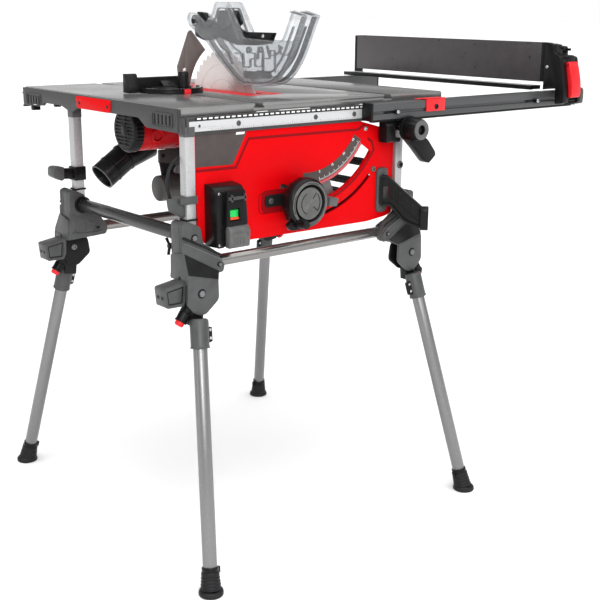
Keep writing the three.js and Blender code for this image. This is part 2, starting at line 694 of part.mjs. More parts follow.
// --------------------------------------------------------------- mitre gauge
{
  const x = SLOT_X[0];
  const py = 115;
  part('miter_bar', union(
    box(x - 9.5, x + 9.5, 40, 345, TABLE_TOP - SLOT_D + GAP, TABLE_TOP - GAP),
    rodZ(TABLE_TOP - 2, 934.7, x, py, 5, 16),
  ), ...SILVER);
  const fan = new THREE.Shape();
  fan.absarc(x, py, 78, Math.PI, Math.PI * 2, false);
  fan.lineTo(x + 78, py + 6);
  fan.lineTo(x - 78, py + 6);
  fan.closePath();
  let head = union(
    slab('z', fan, TABLE_TOP + 1, TABLE_TOP + 11, 12),
    box(-208, -42, py + 4, py + 16, TABLE_TOP + 1, 948),
    box(-208, -180, py - 12, py + 16, TABLE_TOP + 1, 957),
    box(x - 20, x + 20, py - 20, py + 6, TABLE_TOP + 8, 935),
  );
  head = cut(
    head,
    rodZ(900, 960, x, py, 5.4, 18),
    rodZ(900, 960, x, py - 62, 4.6, 16),
  );
  part('miter_head', head, ...BLACK);
  part('miter_knob', union(
    rodZ(TABLE_TOP + 11.3, 962, x, py - 62, 12, 16),
    rodZ(TABLE_TOP + GAP, TABLE_TOP + 12, x, py - 62, 4, 14),
  ), ...BLACK);
}

// ------------------------------------------------------------- dust outlet
{
  const mouth = V(-163, 322, 703);
  const bend = V(-92, 322, 751);
  const inner = V(-30, 322, 772);
  let duct = union(
    rod(mouth, bend, 33, 33, 28),
    rod(V(-100, 322, 746), inner, 33, 33, 28),
    box(-50, 60, 297, 350, 760, 897.7),
  );
  duct = cut(
    duct,
    rod(V(-171, 322, 697.6), bend, 30, 30, 28),
    rod(V(-100, 322, 746), V(-20, 322, 775.4), 30, 30, 28),
    box(-46, 56, 300, 347, 764, 880),
    box(-10, 50, 290, 310, 800, 870),
  );
  part('dust_port', duct, ...BLACK);
}

export default saw;
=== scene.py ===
import math

import bmesh
import bpy
from mathutils import Matrix, Vector


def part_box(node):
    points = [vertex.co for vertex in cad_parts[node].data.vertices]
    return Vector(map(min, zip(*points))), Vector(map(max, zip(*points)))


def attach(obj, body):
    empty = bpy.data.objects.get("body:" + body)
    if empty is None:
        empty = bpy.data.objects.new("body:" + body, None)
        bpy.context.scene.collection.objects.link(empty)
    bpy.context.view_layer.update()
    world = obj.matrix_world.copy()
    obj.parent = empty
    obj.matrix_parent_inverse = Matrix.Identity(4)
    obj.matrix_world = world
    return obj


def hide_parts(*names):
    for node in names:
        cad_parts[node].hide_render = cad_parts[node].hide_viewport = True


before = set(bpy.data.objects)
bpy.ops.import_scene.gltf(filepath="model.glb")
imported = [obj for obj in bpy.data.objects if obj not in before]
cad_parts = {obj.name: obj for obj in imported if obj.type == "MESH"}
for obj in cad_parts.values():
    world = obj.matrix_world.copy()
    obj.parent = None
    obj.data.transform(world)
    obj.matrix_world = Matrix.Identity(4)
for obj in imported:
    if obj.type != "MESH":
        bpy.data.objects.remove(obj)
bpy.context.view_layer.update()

CORNERS = {"fl": (-1, -1), "fr": (1, -1), "rl": (-1, 1), "rr": (1, 1)}

# Lengths below are millimetres from the plan centre of the four uprights.
MID = Vector()
for corner in CORNERS:
    MID += sum(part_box("upright_" + corner), Vector()) / 8
MID.z = 0
TABLE_Z = 915.0
TILT_X = 20.0


def place(x, y, z):
    """A point in metres in the CAD frame."""
    return Vector((x, y, z)) / 1000 + MID


# ------------------------------------------------------------------ materials
def link(tree, a, out, b, into):
    tree.links.new(a.outputs[out], b.inputs[into])


def node(tree, kind, **values):
    """A new shader node with the named inputs set; an underscore stands for a space."""
    made = tree.nodes.new("ShaderNode" + kind)
    for name, value in values.items():
        made.inputs[name.replace("_", " ")].default_value = value
    return made


def blank(name):
    """A new material, its node tree and its main shader."""
    m = bpy.data.materials.new(name)
    m.use_nodes = True
    return m, m.node_tree, m.node_tree.nodes["Principled BSDF"]


def tint(tree, under, out, mask, mask_out, colour):
    """Lays a colour over what a node gives, as far as the mask says."""
    mix = node(tree, "Mix")
    mix.data_type = "RGBA"
    link(tree, mask, mask_out, mix, "Factor")
    link(tree, under, out, mix, "A")
    mix.inputs["B"].default_value = (*colour, 1)
    return mix, "Result"


def ramp_between(tree, source, low, high):
    """A colour ramp driven by a noise."""
    ramp = node(tree, "ValToRGB")
    for element, colour in zip(ramp.color_ramp.elements, (low, high)):
        element.color = (*colour, 1)
    link(tree, source, "Fac", ramp, "Fac")
    return ramp


def dimple(tree, shader, height, strength, distance):
    """Bump from a noise."""
    bump = node(tree, "Bump", Strength=strength, Distance=distance)
    link(tree, height, "Fac", bump, "Height")
    link(tree, bump, "Normal", shader, "Normal")


def material(name, colour, rough, metal=0.0, vary=0.12, scale=45.0, bump=0.12, grain=900.0,
             edge_wear_and_highlight=0.0, stretch=(1, 1, 1), speck=0.0, spec=0.5):
    """Painted, moulded or ground surface with blotches, grain, convex edges lightened in patches (wear and
    painted edge highlight) and uneven gloss.
    """
    m, t, shader = blank(name)
    for field, value in (("Metallic", metal), ("Specular IOR Level", spec), ("Coat Roughness", 0.15)):
        shader.inputs[field].default_value = value
    spot = node(t, "TexCoord")
    mapping = node(t, "Mapping", Scale=stretch)
    link(t, spot, "Object", mapping, "Vector")
    blotch = node(t, "TexNoise", Scale=scale, Detail=6)
    link(t, mapping, "Vector", blotch, "Vector")
    fine = node(t, "TexNoise", Scale=grain, Detail=3)
    link(t, mapping, "Vector", fine, "Vector")
    base = Vector(colour)
    last = ramp_between(t, blotch, base * (1 - vary), base * (1 + vary))
    last.color_ramp.elements[0].position = 0.3
    last.color_ramp.elements[1].position = 0.7
    out = "Color"
    if speck:
        dots = node(t, "MapRange", From_Min=0.52, From_Max=0.64, To_Max=speck)
        link(t, fine, "Fac", dots, "Value")
        last, out = tint(t, last, out, dots, "Result", [min(1, v * 2.2 + 0.04) for v in colour])
    # Convex edges, found by pointiness, are lightened in patches of the blotch noise: partly worn paint,
    # partly painted edge highlight.
    if edge_wear_and_highlight:
        edge = node(t, "MapRange", From_Min=0.53, From_Max=0.62, To_Max=edge_wear_and_highlight)
        link(t, node(t, "NewGeometry"), "Pointiness", edge, "Value")
        patch = node(t, "Math")
        patch.operation = "MULTIPLY"
        link(t, edge, "Result", patch, 0)
        link(t, blotch, "Fac", patch, 1)
        last, out = tint(t, last, out, patch, "Value", [min(1, v * 1.5 + 0.12) for v in colour])
    link(t, last, out, shader, "Base Color")
    gloss = node(t, "MapRange", To_Min=max(0.03, rough - 0.08), To_Max=min(1.0, rough + 0.1))
    link(t, blotch, "Fac", gloss, "Value")
    link(t, gloss, "Result", shader, "Roughness")
    if bump:
        dimple(t, shader, fine, bump, 0.0004)
    return m


def clear_plastic(name, colour, clear):
    """Thin clear plastic: mostly see-through, with gloss, faint cloudiness and scuffs."""
    m, t, shader = blank(name)
    cloud = node(t, "TexNoise", Scale=70, Detail=5)
    link(t, node(t, "TexCoord"), "Object", cloud, "Vector")
    gloss = node(t, "MapRange", To_Min=0.04, To_Max=0.22)
    link(t, cloud, "Fac", gloss, "Value")
    link(t, gloss, "Result", shader, "Roughness")
    dimple(t, shader, cloud, 0.25, 0.0006)
    link(t, ramp_between(t, cloud, [v * 0.8 for v in colour], colour), "Color", shader, "Base Color")
    shader.inputs["Transmission Weight"].default_value = 0.55
    shader.inputs["IOR"].default_value = 1.45
    glass = node(t, "BsdfTransparent", Color=(0.86, 0.87, 0.88, 1))
    depth = node(t, "MapRange", To_Min=clear, To_Max=clear * 0.6)
    link(t, node(t, "LayerWeight", Blend=0.22), "Facing", depth, "Value")
    mix = node(t, "MixShader")
    link(t, depth, "Result", mix, "Fac")
    link(t, shader, "BSDF", mix, 1)
    link(t, glass, "BSDF", mix, 2)
    link(t, mix, "Shader", t.nodes["Material Output"], "Surface")
    return m


M = {
    "top": material("table_grey", (0.25, 0.248, 0.246), 0.24, 0.7, vary=0.05, scale=9, bump=0.03),
    "skirt": material("skirt_grey", (0.042, 0.042, 0.043), 0.42, 0.1, edge_wear_and_highlight=0.35, spec=0.25),
    "red": material("red_paint", (0.58, 0.001, 0.003), 0.42, vary=0.06, scale=6, bump=0.02, edge_wear_and_highlight=0.04,
                    spec=0.05),
    # The darker red paints shade on steps, slot walls and the lock recess; the paler red paints a highlight
    # on the opening's lip.
    "red_painted_shade": material("red_shadow_line", (0.20, 0.001, 0.003), 0.45, vary=0.05, bump=0.02, spec=0.1),
    "red_painted_highlight": material("red_lip_painted_highlight", (0.42, 0.10, 0.11), 0.45, vary=0.05, bump=0.02, spec=0.1),
    "cast_red": material("red_gearcase", (0.50, 0.004, 0.008), 0.42, vary=0.1, bump=0.05, edge_wear_and_highlight=0.2,
                         spec=0.15),
    "black": material("black_plastic", (0.0045, 0.0045, 0.005), 0.30, edge_wear_and_highlight=0.12, spec=0.16),
    "bracket": material("bracket_grey", (0.062, 0.063, 0.064), 0.36, 0.15, bump=0.08, edge_wear_and_highlight=0.25, spec=0.25),
    "grey": material("grey_plastic", (0.085, 0.084, 0.083), 0.40, edge_wear_and_highlight=0.25, spec=0.25),
    "rail": material("rail_anodised", (0.06, 0.061, 0.063), 0.32, 0.35, stretch=(0.03, 1, 1), edge_wear_and_highlight=0.4,
                     spec=0.4),
    "tube": material("leg_tube", (0.20, 0.20, 0.202), 0.31, 0.8, vary=0.04, scale=14, stretch=(1, 1, 0.12),
                     speck=0.10),
    "dark_tube": material("side_tube", (0.075, 0.075, 0.076), 0.24, 0.75, vary=0.05, stretch=(1, 0.1, 1),
                          bump=0.08, spec=0.4),
    "bright_tube": material("cross_tube", (0.24, 0.232, 0.225), 0.24, 0.9, vary=0.05, stretch=(0.1, 1, 1),
                            bump=0.06),
    "upright": material("upright_zinc", (0.40, 0.40, 0.405), 0.40, 0.55, vary=0.05, scale=14, speck=0.3,
                        bump=0.3, grain=700),
    "taupe": material("lower_housing_grey", (0.060, 0.057, 0.055), 0.42, 0.2, vary=0.08, bump=0.06, spec=0.3),
    "steel": material("bright_steel", (0.5, 0.5, 0.5), 0.26, 0.95, vary=0.08, bump=0.04),
    "blade": material("blade_steel", (0.74, 0.69, 0.67), 0.3, 0.7, vary=0.05, scale=30, bump=0.02),
    "knife": material("knife_grey", (0.11, 0.085, 0.078), 0.38, 0.4, edge_wear_and_highlight=0.4, bump=0.06),
    "silver": material("rail_silver", (0.52, 0.52, 0.53), 0.30, 0.35, vary=0.05, stretch=(0.05, 1, 1),
                       bump=0.04),
    "cast": material("cast_alloy", (0.15, 0.15, 0.152), 0.5, 0.6, bump=0.3, grain=300, edge_wear_and_highlight=0.3),
    "rubber": material("rubber", (0.008, 0.008, 0.009), 0.5, bump=0.25, grain=600, edge_wear_and_highlight=0.15, spec=0.2),
    "fence": material("fence_hammered", (0.040, 0.034, 0.037), 0.30, 0.2, bump=0.9, grain=420, speck=0.12,
                      edge_wear_and_highlight=0.2, spec=0.6),
    "label": material("label_grey", (0.062, 0.050, 0.047), 0.5, bump=0.25, grain=1500, spec=0.2),
    "white": material("print_white", (0.80, 0.80, 0.79), 0.5, vary=0.04, bump=0, spec=0.2),
    "green": material("switch_green", (0.01, 0.50, 0.09), 0.25, vary=0.06, bump=0.02, spec=0.3),
    "orange": material("switch_red", (0.72, 0.07, 0.03), 0.3, vary=0.05, bump=0.02, spec=0.2),
    "red_cap": material("red_plastic", (0.66, 0.010, 0.016), 0.36, vary=0.07, bump=0.05, edge_wear_and_highlight=0.15, spec=0.3),
    "clear": clear_plastic("guard_clear", (0.85, 0.85, 0.86), 0.92),
    # Dark-tinted clear plastic for the guard's rims and ribs: painted dark edges standing in for those that
    # refraction shows.
    "clear_painted_dark_edge": clear_plastic("guard_edges_painted_dark", (0.10, 0.104, 0.108), 0.42),
    "smoke": clear_plastic("guard_pads", (0.03, 0.03, 0.032), 0.12),
}
M["paper"], _, paper = blank("floor_paper")
paper.inputs["Base Color"].default_value = (0.96, 0.96, 0.96, 1)
paper.inputs["Roughness"].default_value = 0.9


# ------------------------------------------------------------- mesh building
def rounded(points, steps=4):
    """Outline with rounded corners; each point is (u, v) or (u, v, radius)."""
    out = []
    for i, p in enumerate(points):
        corner = Vector(p[:2])
        r = p[2] if len(p) > 2 else 0
        if not r:
            out.append(corner)
            continue
        a = Vector(points[i - 1][:2]) - corner
        b = Vector(points[(i + 1) % len(points)][:2]) - corner
        r = min(r, a.length * 0.45, b.length * 0.45)
        start, end = corner + a.normalized() * r, corner + b.normalized() * r
        for k in range(steps + 1):
            q = k / steps
            out.append(start * (1 - q) ** 2 + corner * 2 * q * (1 - q) + end * q * q)
    return out


def polar(cx, cy, r, deg):
    a = math.radians(deg)
    return (cx + r * math.cos(a), cy + r * math.sin(a))


def arc(cx, cy, r, first, last, n):
    """Points from the first angle to the last, in degrees."""
    return [polar(cx, cy, r, first + (last - first) * i / n) for i in range(n + 1)]


def circle(cx, cy, r, n=24):
    return arc(cx, cy, r, 0, 360 - 360 / n, n - 1)


def rect(u0, u1, v0, v1, *radius):
    return [(u0, v0, *radius), (u1, v0, *radius), (u1, v1, *radius), (u0, v1, *radius)]


def flip(points, side):
    """Outline mirrored left to right where side is -1."""
    return [(side * p[0], *p[1:]) for p in points]


def around(centre, d, r, h, n):
    """n points round the line through centre along d, at radius r and distance h."""
    u = d.orthogonal().normalized()
    v = d.cross(u)
    angles = [2 * math.pi * k / n for k in range(n)]
    return [centre + d * h + (u * math.cos(a) + v * math.sin(a)) * r for a in angles]


def scalloped(to, u, v, w, r, depth, waves, power, n):
    """Ring of n points whose radius dips by depth at each wave."""
    ring = []
    for k in range(n):
        dip = depth * (0.5 + 0.5 * math.cos(2 * math.pi * k * waves / n)) ** power
        ring.append(to(*polar(u, v, r - dip, 360 * k / n), w))
    return ring


AXES = {"x": lambda u, v, w: (w, u, v), "y": lambda u, v, w: (u, w, v), "z": lambda u, v, w: (u, v, w)}


class Shape:
    """Closed solids gathered into one mesh, in millimetres."""

    def __init__(self):
        self.bm = bmesh.new()

    def close(self, faces):
        bmesh.ops.recalc_face_normals(self.bm, faces=faces)
        return self

    def bands(self, loops):
        """Faces between neighbouring loops of vertices."""
        n = len(loops[0])
        corners = [(i, (i + 1) % n) for i in range(n)]
        return [self.bm.faces.new((a[i], a[j], b[j], b[i]))
                for a, b in zip(loops, loops[1:]) for i, j in corners]

    def prism(self, axis, points, a, b, taper=0.0, steps=4):
        """Outline pushed along an axis from a to b, its far end smaller by taper."""
        pts = rounded(points, steps)
        to = AXES[axis]
        centre = sum(pts, Vector((0, 0))) / len(pts)
        far = [p + (centre - p).normalized() * taper if taper else p for p in pts]
        low = [self.bm.verts.new(to(*p, a)) for p in pts]
        top = [self.bm.verts.new(to(*p, b)) for p in far]
        return self.close([self.bm.faces.new(low), self.bm.faces.new(top)] + self.bands([low, top]))

    def box(self, x0, x1, y0, y1, z0, z1, r=0, axis="z"):
        """Box whose edges along the axis have radius r."""
        sides = {"x": (x0, x1), "y": (y0, y1), "z": (z0, z1)}
        along = sides.pop(axis)
        u, v = sides.values()
        return self.prism(axis, rect(*u, *v, r), *along)

    def loft(self, rings, caps=True):
        """Skin over rings of points."""
        vs = [[self.bm.verts.new(p) for p in ring] for ring in rings]
        faces = self.bands(vs)
        if caps:
            faces += [self.bm.faces.new(vs[0]), self.bm.faces.new(vs[-1])]
        return self.close(faces)

    def turn(self, base, direction, profile, n=40, closed=False):
        """Profile (radius, distance) turned about the line from base along direction."""
        d = Vector(direction).normalized()
        rings = [around(Vector(base), d, max(r, 0.01), h, n) for r, h in profile]
        if not closed:
            return self.loft(rings)
        vs = [[self.bm.verts.new(p) for p in ring] for ring in rings]
        return self.close(self.bands(vs + vs[:1]))

    def rod(self, a, b, r, end_r=None, n=32):
        a, b = Vector(a), Vector(b)
        return self.turn(a, b - a, [(r, 0), (end_r or r, (b - a).length)], n)

    def pipe(self, a, b, outer, inner, n=40):
        a, b = Vector(a), Vector(b)
        h = (b - a).length
        return self.turn(a, b - a, [(outer, 0), (outer, h), (inner, h), (inner, 0)], n, closed=True)

    def sweep(self, path, r, n=12):
        """Round bar of radius r along a path of points."""
        path = [Vector(p) for p in path]
        angles = [2 * math.pi * k / n for k in range(n)]
        rings = []
        side = None
        for p, before, after in zip(path, path[:1] + path, path[1:] + path[-1:]):
            d = (after - before).normalized()
            side = d.orthogonal() if side is None else side - d * side.dot(d)
            side.normalize()
            up = d.cross(side)
            rings.append([p + (side * math.cos(a) + up * math.sin(a)) * r for a in angles])
        return self.loft(rings)

    def sheet(self, outer, holes, axis, a, b, steps=4):
        """Flat plate with holes through it."""
        to = AXES[axis]
        loops = [rounded(loop, steps) for loop in [outer] + holes]
        made = []
        sides = []
        for w in (a, b):
            flat = bmesh.new()
            edges = []
            for loop in loops:
                vs = [flat.verts.new(to(*p, w)) for p in loop]
                edges += [flat.edges.new(pair) for pair in zip(vs, vs[1:] + vs[:1])]
            bmesh.ops.triangle_fill(flat, edges=edges, use_beauty=True)
            copies = {v: self.bm.verts.new(v.co) for v in flat.verts}
            made += [self.bm.faces.new([copies[v] for v in f.verts]) for f in flat.faces]
            sides.append(list(copies.values()))
            flat.free()
        start = 0
        for loop in loops:
            end = start + len(loop)
            made += self.bands([side[start:end] for side in sides])
            start = end
        return self.close(made)

    def ribbon(self, axis, points, width, a, b, closed=False):
        """Mitred strip of even width along a line of points."""
        to = AXES[axis]
        pts = [Vector(p) for p in points]
        last = len(pts) - 1
        rings = []
        for i, p in enumerate(pts):
            before = pts[i - 1] if i or closed else None
            after = pts[(i + 1) % len(pts)] if i < last or closed else None
            d0 = (p - before).normalized() if before is not None else (after - p).normalized()
            d1 = (after - p).normalized() if after is not None else d0
            t = (d0 + d1).normalized()
            q = Vector((-t.y, t.x)) * (width / 2 / max(0.4, t.dot(d0)))
            rings.append([to(*(p + q), a), to(*(p + q), b), to(*(p - q), b), to(*(p - q), a)])
        return self.loft(rings + rings[:1], caps=False) if closed else self.loft(rings)

    def piece(self, name, mat, bevel, segments=2, angle=32):
        self.bm.transform(Matrix.Translation(MID) @ Matrix.Scale(0.001, 4))
        mesh = bpy.data.meshes.new(name)
        self.bm.to_mesh(mesh)
        self.bm.free()
        made = bpy.data.objects.new(name, mesh)
        bpy.context.scene.collection.objects.link(made)
        finish(made, mat, bevel, segments, angle)
        return made

    def done(self, name, mat, body, bevel=0.6, replaces=(), slot=None, segments=2, angle=32):
        """The finished piece, riding on a body."""
        made = self.piece(name, mat, bevel, segments, angle)
        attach(made, body)
        if replaces:
            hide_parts(*replaces)


def finish(piece, mat, width, segments, angle):
    """Material and softened edges."""
    piece.data.materials.clear()
    piece.data.materials.append(M[mat])
    for face in piece.data.polygons:
        face.use_smooth = True
    if width:
        bevel = piece.modifiers.new("edge", "BEVEL")
        bevel.width = width / 1000
        bevel.segments = segments
        bevel.limit_method = "ANGLE"
        bevel.angle_limit = math.radians(angle)
        bevel.use_clamp_overlap = True
    piece.modifiers.new("split", "EDGE_SPLIT").split_angle = math.radians(angle)


def screw(at, direction, r=4.0, h=2.0, body="stand", name="screw", mat="bracket"):
    """Domed screw head with a dark drive recess."""
    profile = [(r, 0), (r, h * 0.5), (r * 0.86, h * 0.85), (r * 0.5, h), (r * 0.5, h * 0.4), (0.01, h * 0.35)]
    Shape().turn(at, direction, profile, 24).done(name, mat, body, 0)


def bolt(at, direction, r=6, body="stand", name="bolt", mat="black"):
    """Hex bolt head on a dark washer."""
    washer = [(r, 0), (r, 0.8), (r * 0.86, 1.3), (0.01, 1.3)]
    Shape().turn(at, direction, washer, 28).done(name + "_washer", "black", body, 0.2)
    head = [around(Vector(at), Vector(direction), r * f, h, 6) for f, h in ((0.72, 1.2),
            (0.72, 3.4), (0.6, 4))]
    Shape().loft(head).done(name, mat, body, 0.25)


def on_tilt(r, deg):
    """Point of the front panel at a radius from the tilt axis, deg from straight down."""
    a = math.radians(deg)
    return (TILT_X + r * math.sin(a), TABLE_Z - r * math.cos(a))


def tilt_arc(r, first, last, step):
    return [on_tilt(r, deg) for deg in range(first, last + 1, step)]


def tilt_band(outer, inner, first, last, step):
    """Outline of a band round the tilt axis, from first to last degree."""
    return tilt_arc(outer, first, last, step) + tilt_arc(inner, first, last, step)[::-1]


# ------------------------------------------------------------------ the table
TABLE_X0, TABLE_X1, TABLE_Y0, TABLE_Y1 = -294.5, 427.8, -216.0, 428.0
s = Shape()
for x0, x1, wide in ((TABLE_X0 + 1, -103, -1), (254, TABLE_X1, 1)):
    edge = [(x0, 898), (x0, 915, 1.5), (x1 - 9.8, 915), (x1 - 9.8, 908.6), (x1 - 13, 908.6), (x1 - 13, 898)]
    if wide > 0:
        edge = [(x0 + 13, 898), (x0 + 13, 908.6), (x0 + 9.8, 908.6), (x0 + 9.8, 915), (x1, 915, 7), (x1, 898)]
    s.prism("y", edge, TABLE_Y0, TABLE_Y1)
throat = rect(-23.9, 75.9, -79.9, 289.9, 18)
s.sheet(rect(-93.2, 244.2, TABLE_Y0, TABLE_Y1), [throat], "z", 908.6, 915, 6)
s.sheet(rect(-90, 241, TABLE_Y0, TABLE_Y1), [throat], "z", 898, 908.7, 6)
for x in (-103, 254):
    s.box(x - 13.5, x + 13.5, TABLE_Y0, TABLE_Y1, 898, 905.3)
s.box(TABLE_X0 + 1, TABLE_X1, TABLE_Y1 - 2, TABLE_Y1 + 11, 873, 898)
s.box(TABLE_X1 - 7, TABLE_X1, TABLE_Y0, TABLE_Y1, 873, 899)
s.done("table_casting", "top", "stand", 0.7, replaces=["table_top"], slot="table_metal")

s = Shape()
skirt = [(TABLE_Y1 + 12, 912.5, 2), (TABLE_Y1 + 12, 872, 3), (404, 872, 2), (400, 877, 2), (340, 877, 2),
        (334, 884, 2), (252, 884, 2), (206, 872, 5), (178, 884.2, 4), (-72, 885.5, 6), (-100, 868.5, 6),
        (-231.5, 867, 2), (-231.5, 896.5, 1), (-217, 896.5, 1), (-217, 912.5, 2)]
grips = []
for start in (-190, 356):
    for i in range(5):
        y = start + i * 13.4
        grips.append(rect(y, y + 6.2, 878.5, 898, 1.6))
s.sheet(skirt, grips, "x", TABLE_X0 - 0.8, TABLE_X0 + 5)
s.done("side_skirt", "skirt", "stand", 0.9, slot="table_metal")
s = Shape()
for start in (-190, 356):
    s.box(TABLE_X0 + 4.6, TABLE_X0 + 6, start - 2, start + 62, 877, 899.5)
    for i in range(5):
        y = start + i * 13.4
        s.prism("y", [(TABLE_X0 + 5, 881), (TABLE_X0 + 5, 897), (TABLE_X0 + 0.4, 880)], y + 0.5, y + 5.7)
s.done("grip_backs", "black", "stand", 0)
s = Shape()
for start in (-190, 356):
    s.ribbon("x", rounded([(start - 5, 875, 6), (start + 65, 875, 9), (start + 65, 901.5, 9),
            (start - 5, 901.5, 6)], 5), 2.2, TABLE_X0 - 2.6, TABLE_X0 - 0.6, closed=True)
s.box(TABLE_X0 - 2.2, TABLE_X0 - 0.6, -215.5, -210, 869, 911, r=1, axis="x")
s.done("grip_rims", "skirt", "stand", 0.6)
s = Shape()
s.prism("x", [(35, 884.6, 7), (176, 884.6, 8), (178.5, 906, 3), (176, 911, 4), (35, 911, 4), (33, 908, 3)],
        TABLE_X0 - 0.7, TABLE_X0 - 3.9, taper=0.8)
s.done("grip_plate", "red", "stand", 0.9)
for y in (44, 163):
    screw((TABLE_X0 - 3.8, y, 896.5), (-1, 0, 0), 3.6, 0.9, name=f"grip_screw_{y}", mat="black")
s = Shape()
for z in (870, 899):
    s.prism("x", [(438, z - 2), (445, z - 1, 1), (445, z + 2, 1), (438, z + 3)],
            TABLE_X0 - 0.5, TABLE_X0 + 14)
s.box(TABLE_X0 + 3, TABLE_X0 + 20, 396, 410, 862, 873, r=2, axis="x")
s.box(TABLE_X0 + 3, TABLE_X0 + 16, 284, 296, 878, 887, r=2, axis="x")
s.done("skirt_lugs", "black", "stand", 0.5)

# ribs that stiffen the underside of the casting
s = Shape()
for y in (-150, -40, 105, 250, 380):
    for x0, x1 in ((-286, -128), (88, 230), (276, 418)):
        s.box(x0, x1, y - 2, y + 2, 884, 898.5)
for x in (-210, 160, 350):
    s.box(x - 2, x + 2, -208, 424, 884, 898.5)
s.done("table_ribs", "cast", "stand", 0.5)

# --------------------------------------------------------- fixed front rail
s = Shape()
s.prism("x", [(-216.2, 897), (-229.2, 897, 1), (-229.2, 890), (-231, 890), (-231, 868.5), (-229, 868.5),
        (-229, 863, 1), (-216.2, 863)], -285, TABLE_X1)
s.done("fixed_rail", "skirt", "stand", 0.5, replaces=["front_rail_fixed"], slot="silver_alu")
s = Shape()
s.sheet(rect(-282, TABLE_X1, 870, 889.3), [circle(-258, 880, 3.1, 12)], "y", -232.2, -230.9)
s.done("scale_strip", "silver", "stand", 0.25, slot="silver_alu")
Shape().box(-266, TABLE_X1, -229.9, -229, 890.6, 896.4).done("rail_band", "black", "stand", 0)
s = Shape()
x = -262
while x < TABLE_X1 - 12:
    s.box(x, x + 8.4, -230.3, -229.6, 892.2, 895)
    x += 13.6
s.done("band_dashes", "white", "stand", 0)
s = Shape()
for x in range(-230, 155, 5):
    tall = 3.2 if (x + 230) % 25 else 5.5
    s.box(x - 0.25, x + 0.25, -232.32, -232.1, 870.3, 870.3 + tall)
s.done("scale_ticks", "black", "stand", 0)
for x in (-166, 32, 140):
    screw((x, -231.8, 880), (0, -1, 0), 5.4, 1.9, name=f"rail_screw_{x + 200}", mat="bracket")
s = Shape()
s.box(-287.5, -281.5, -232.8, -216.5, 866, 897.5, r=1.5)
s.box(-281.5, -272, -231.8, -229, 863, 869)
s.done("rail_end_cap", "skirt", "stand", 0.6)

# --------------------------------------------------------------- front panel
PANEL_Y = -226.0
s = Shape()
edge = [(-266, 864, 2), (160, 864, 6), (228, 846, 6), (246, 828, 6), (266, 820, 4), (266, 652, 10),
        (248, 646, 10), (190, 640, 10), (-232, 643, 10), (-263, 658, 10)]
opening = tilt_band(215.8, 180.5, -24, 56, 4)
ends = (0, 20, 21, 41)
opening = [(*point, 5 if i in ends else 0) for i, point in enumerate(opening)]
slot = tilt_band(248.5, 240.5, -8, 46, 3)
s.sheet(edge, [opening, slot], "y", PANEL_Y, PANEL_Y + 2.4, 3)
s.ribbon("y", rounded([(x * 0.9925, 753 + (z - 753) * 0.982, 6) for x, z, r in edge], 3), 2, PANEL_Y + 2,
        PANEL_Y + 11, closed=True)
s.ribbon("y", tilt_arc(216.8, -24, 57, 3), 1.8, PANEL_Y + 1, PANEL_Y + 11.4)
s.ribbon("y", [on_tilt(r, 57.4) for r in (217.5, 200, 180)], 1.8, PANEL_Y + 1, PANEL_Y + 11.4)
s.done("front_panel_skin", "red", "stand", 0.5, replaces=["front_panel"], slot="red_paint")

# Darker red strips along the panel's step lines, round the opening and round the lock oval: painted shade in
# the steps.
s = Shape()
s.ribbon("y", [(-264.5, 794), (-169, 793), (-137, 847.5), (158, 845.5), (176, 855)], 5.4,
        PANEL_Y - 0.35, PANEL_Y + 0.5)
s.ribbon("y", tilt_arc(219.4, -26, 58, 3) + [on_tilt(206, 61.2), on_tilt(190, 61.6)], 5.6,
        PANEL_Y - 0.35, PANEL_Y + 0.5)
s.ribbon("y", rounded([(-112, 735, 12), (-30, 735, 4), (-30, 692, 4), (-112, 692, 12)], 5), 2.4,
        PANEL_Y - 0.35, PANEL_Y + 0.5, closed=True)
s.done("panel_step_painted_shade", "red_painted_shade", "stand", 0)
s = Shape()
s.prism("y", [(-264, 863), (-142, 862), (-177, 799.5, 3), (-264, 801)], PANEL_Y - 0.7, PANEL_Y + 0.3)
s.done("blank_label", "label", "stand", 0.2)
s = Shape()
s.prism("y", [(-168, 862), (-147, 862), (-149, 857.5), (-169, 857.5)], PANEL_Y - 1, PANEL_Y - 0.5)
s.done("label_corner", "white", "stand", 0)
s = Shape()
s.prism("y", tilt_band(173, 150, -6, 58, 2), PANEL_Y - 0.7, PANEL_Y + 0.3)
s.done("bevel_scale", "label", "stand", 0)
s = Shape()
for d in range(10, 57):
    r0 = 164.5 if d % 5 == 0 else 168.5
    s.ribbon("y", [on_tilt(r0, d), on_tilt(172, d)], 0.7, PANEL_Y - 0.95, PANEL_Y - 0.6)
s.done("bevel_ticks", "white", "stand", 0)
for number, d in ((0, 11), (15, 25), (30, 39.5), (45, 54)):
    text = bpy.data.curves.new(f"dial_{number}", "FONT")
    text.body = str(number)
    text.size = 0.0075
    text.align_x = "CENTER"
    text.extrude = 0.0001
    text.materials.append(M["white"])
    x, z = on_tilt(155.5, d)
    dial = bpy.data.objects.new(f"dial_{number}", text)
    upright = Matrix.Rotation(math.radians(d), 4, (0, -1, 0)) @ Matrix.Rotation(math.pi / 2, 4, "X")
    dial.matrix_world = Matrix.Translation(place(x, PANEL_Y - 0.85, z)) @ upright
    bpy.context.scene.collection.objects.link(dial)
    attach(dial, "stand")
screw((205, PANEL_Y, 756), (0, -1, 0), 6.6, 5, name="panel_bolt", mat="knife")
screw((180, PANEL_Y, 846), (0, -1, 0), 5, 3, name="panel_bolt_top", mat="steel")
# Paler red band along the opening's lower lip: painted highlight where the lip catches light.
s = Shape()
s.prism("y", tilt_band(179.6, 174.6, -6, 56, 2), PANEL_Y - 0.5, PANEL_Y + 0.3)
s.done("opening_lip", "red_painted_highlight", "stand", 0)
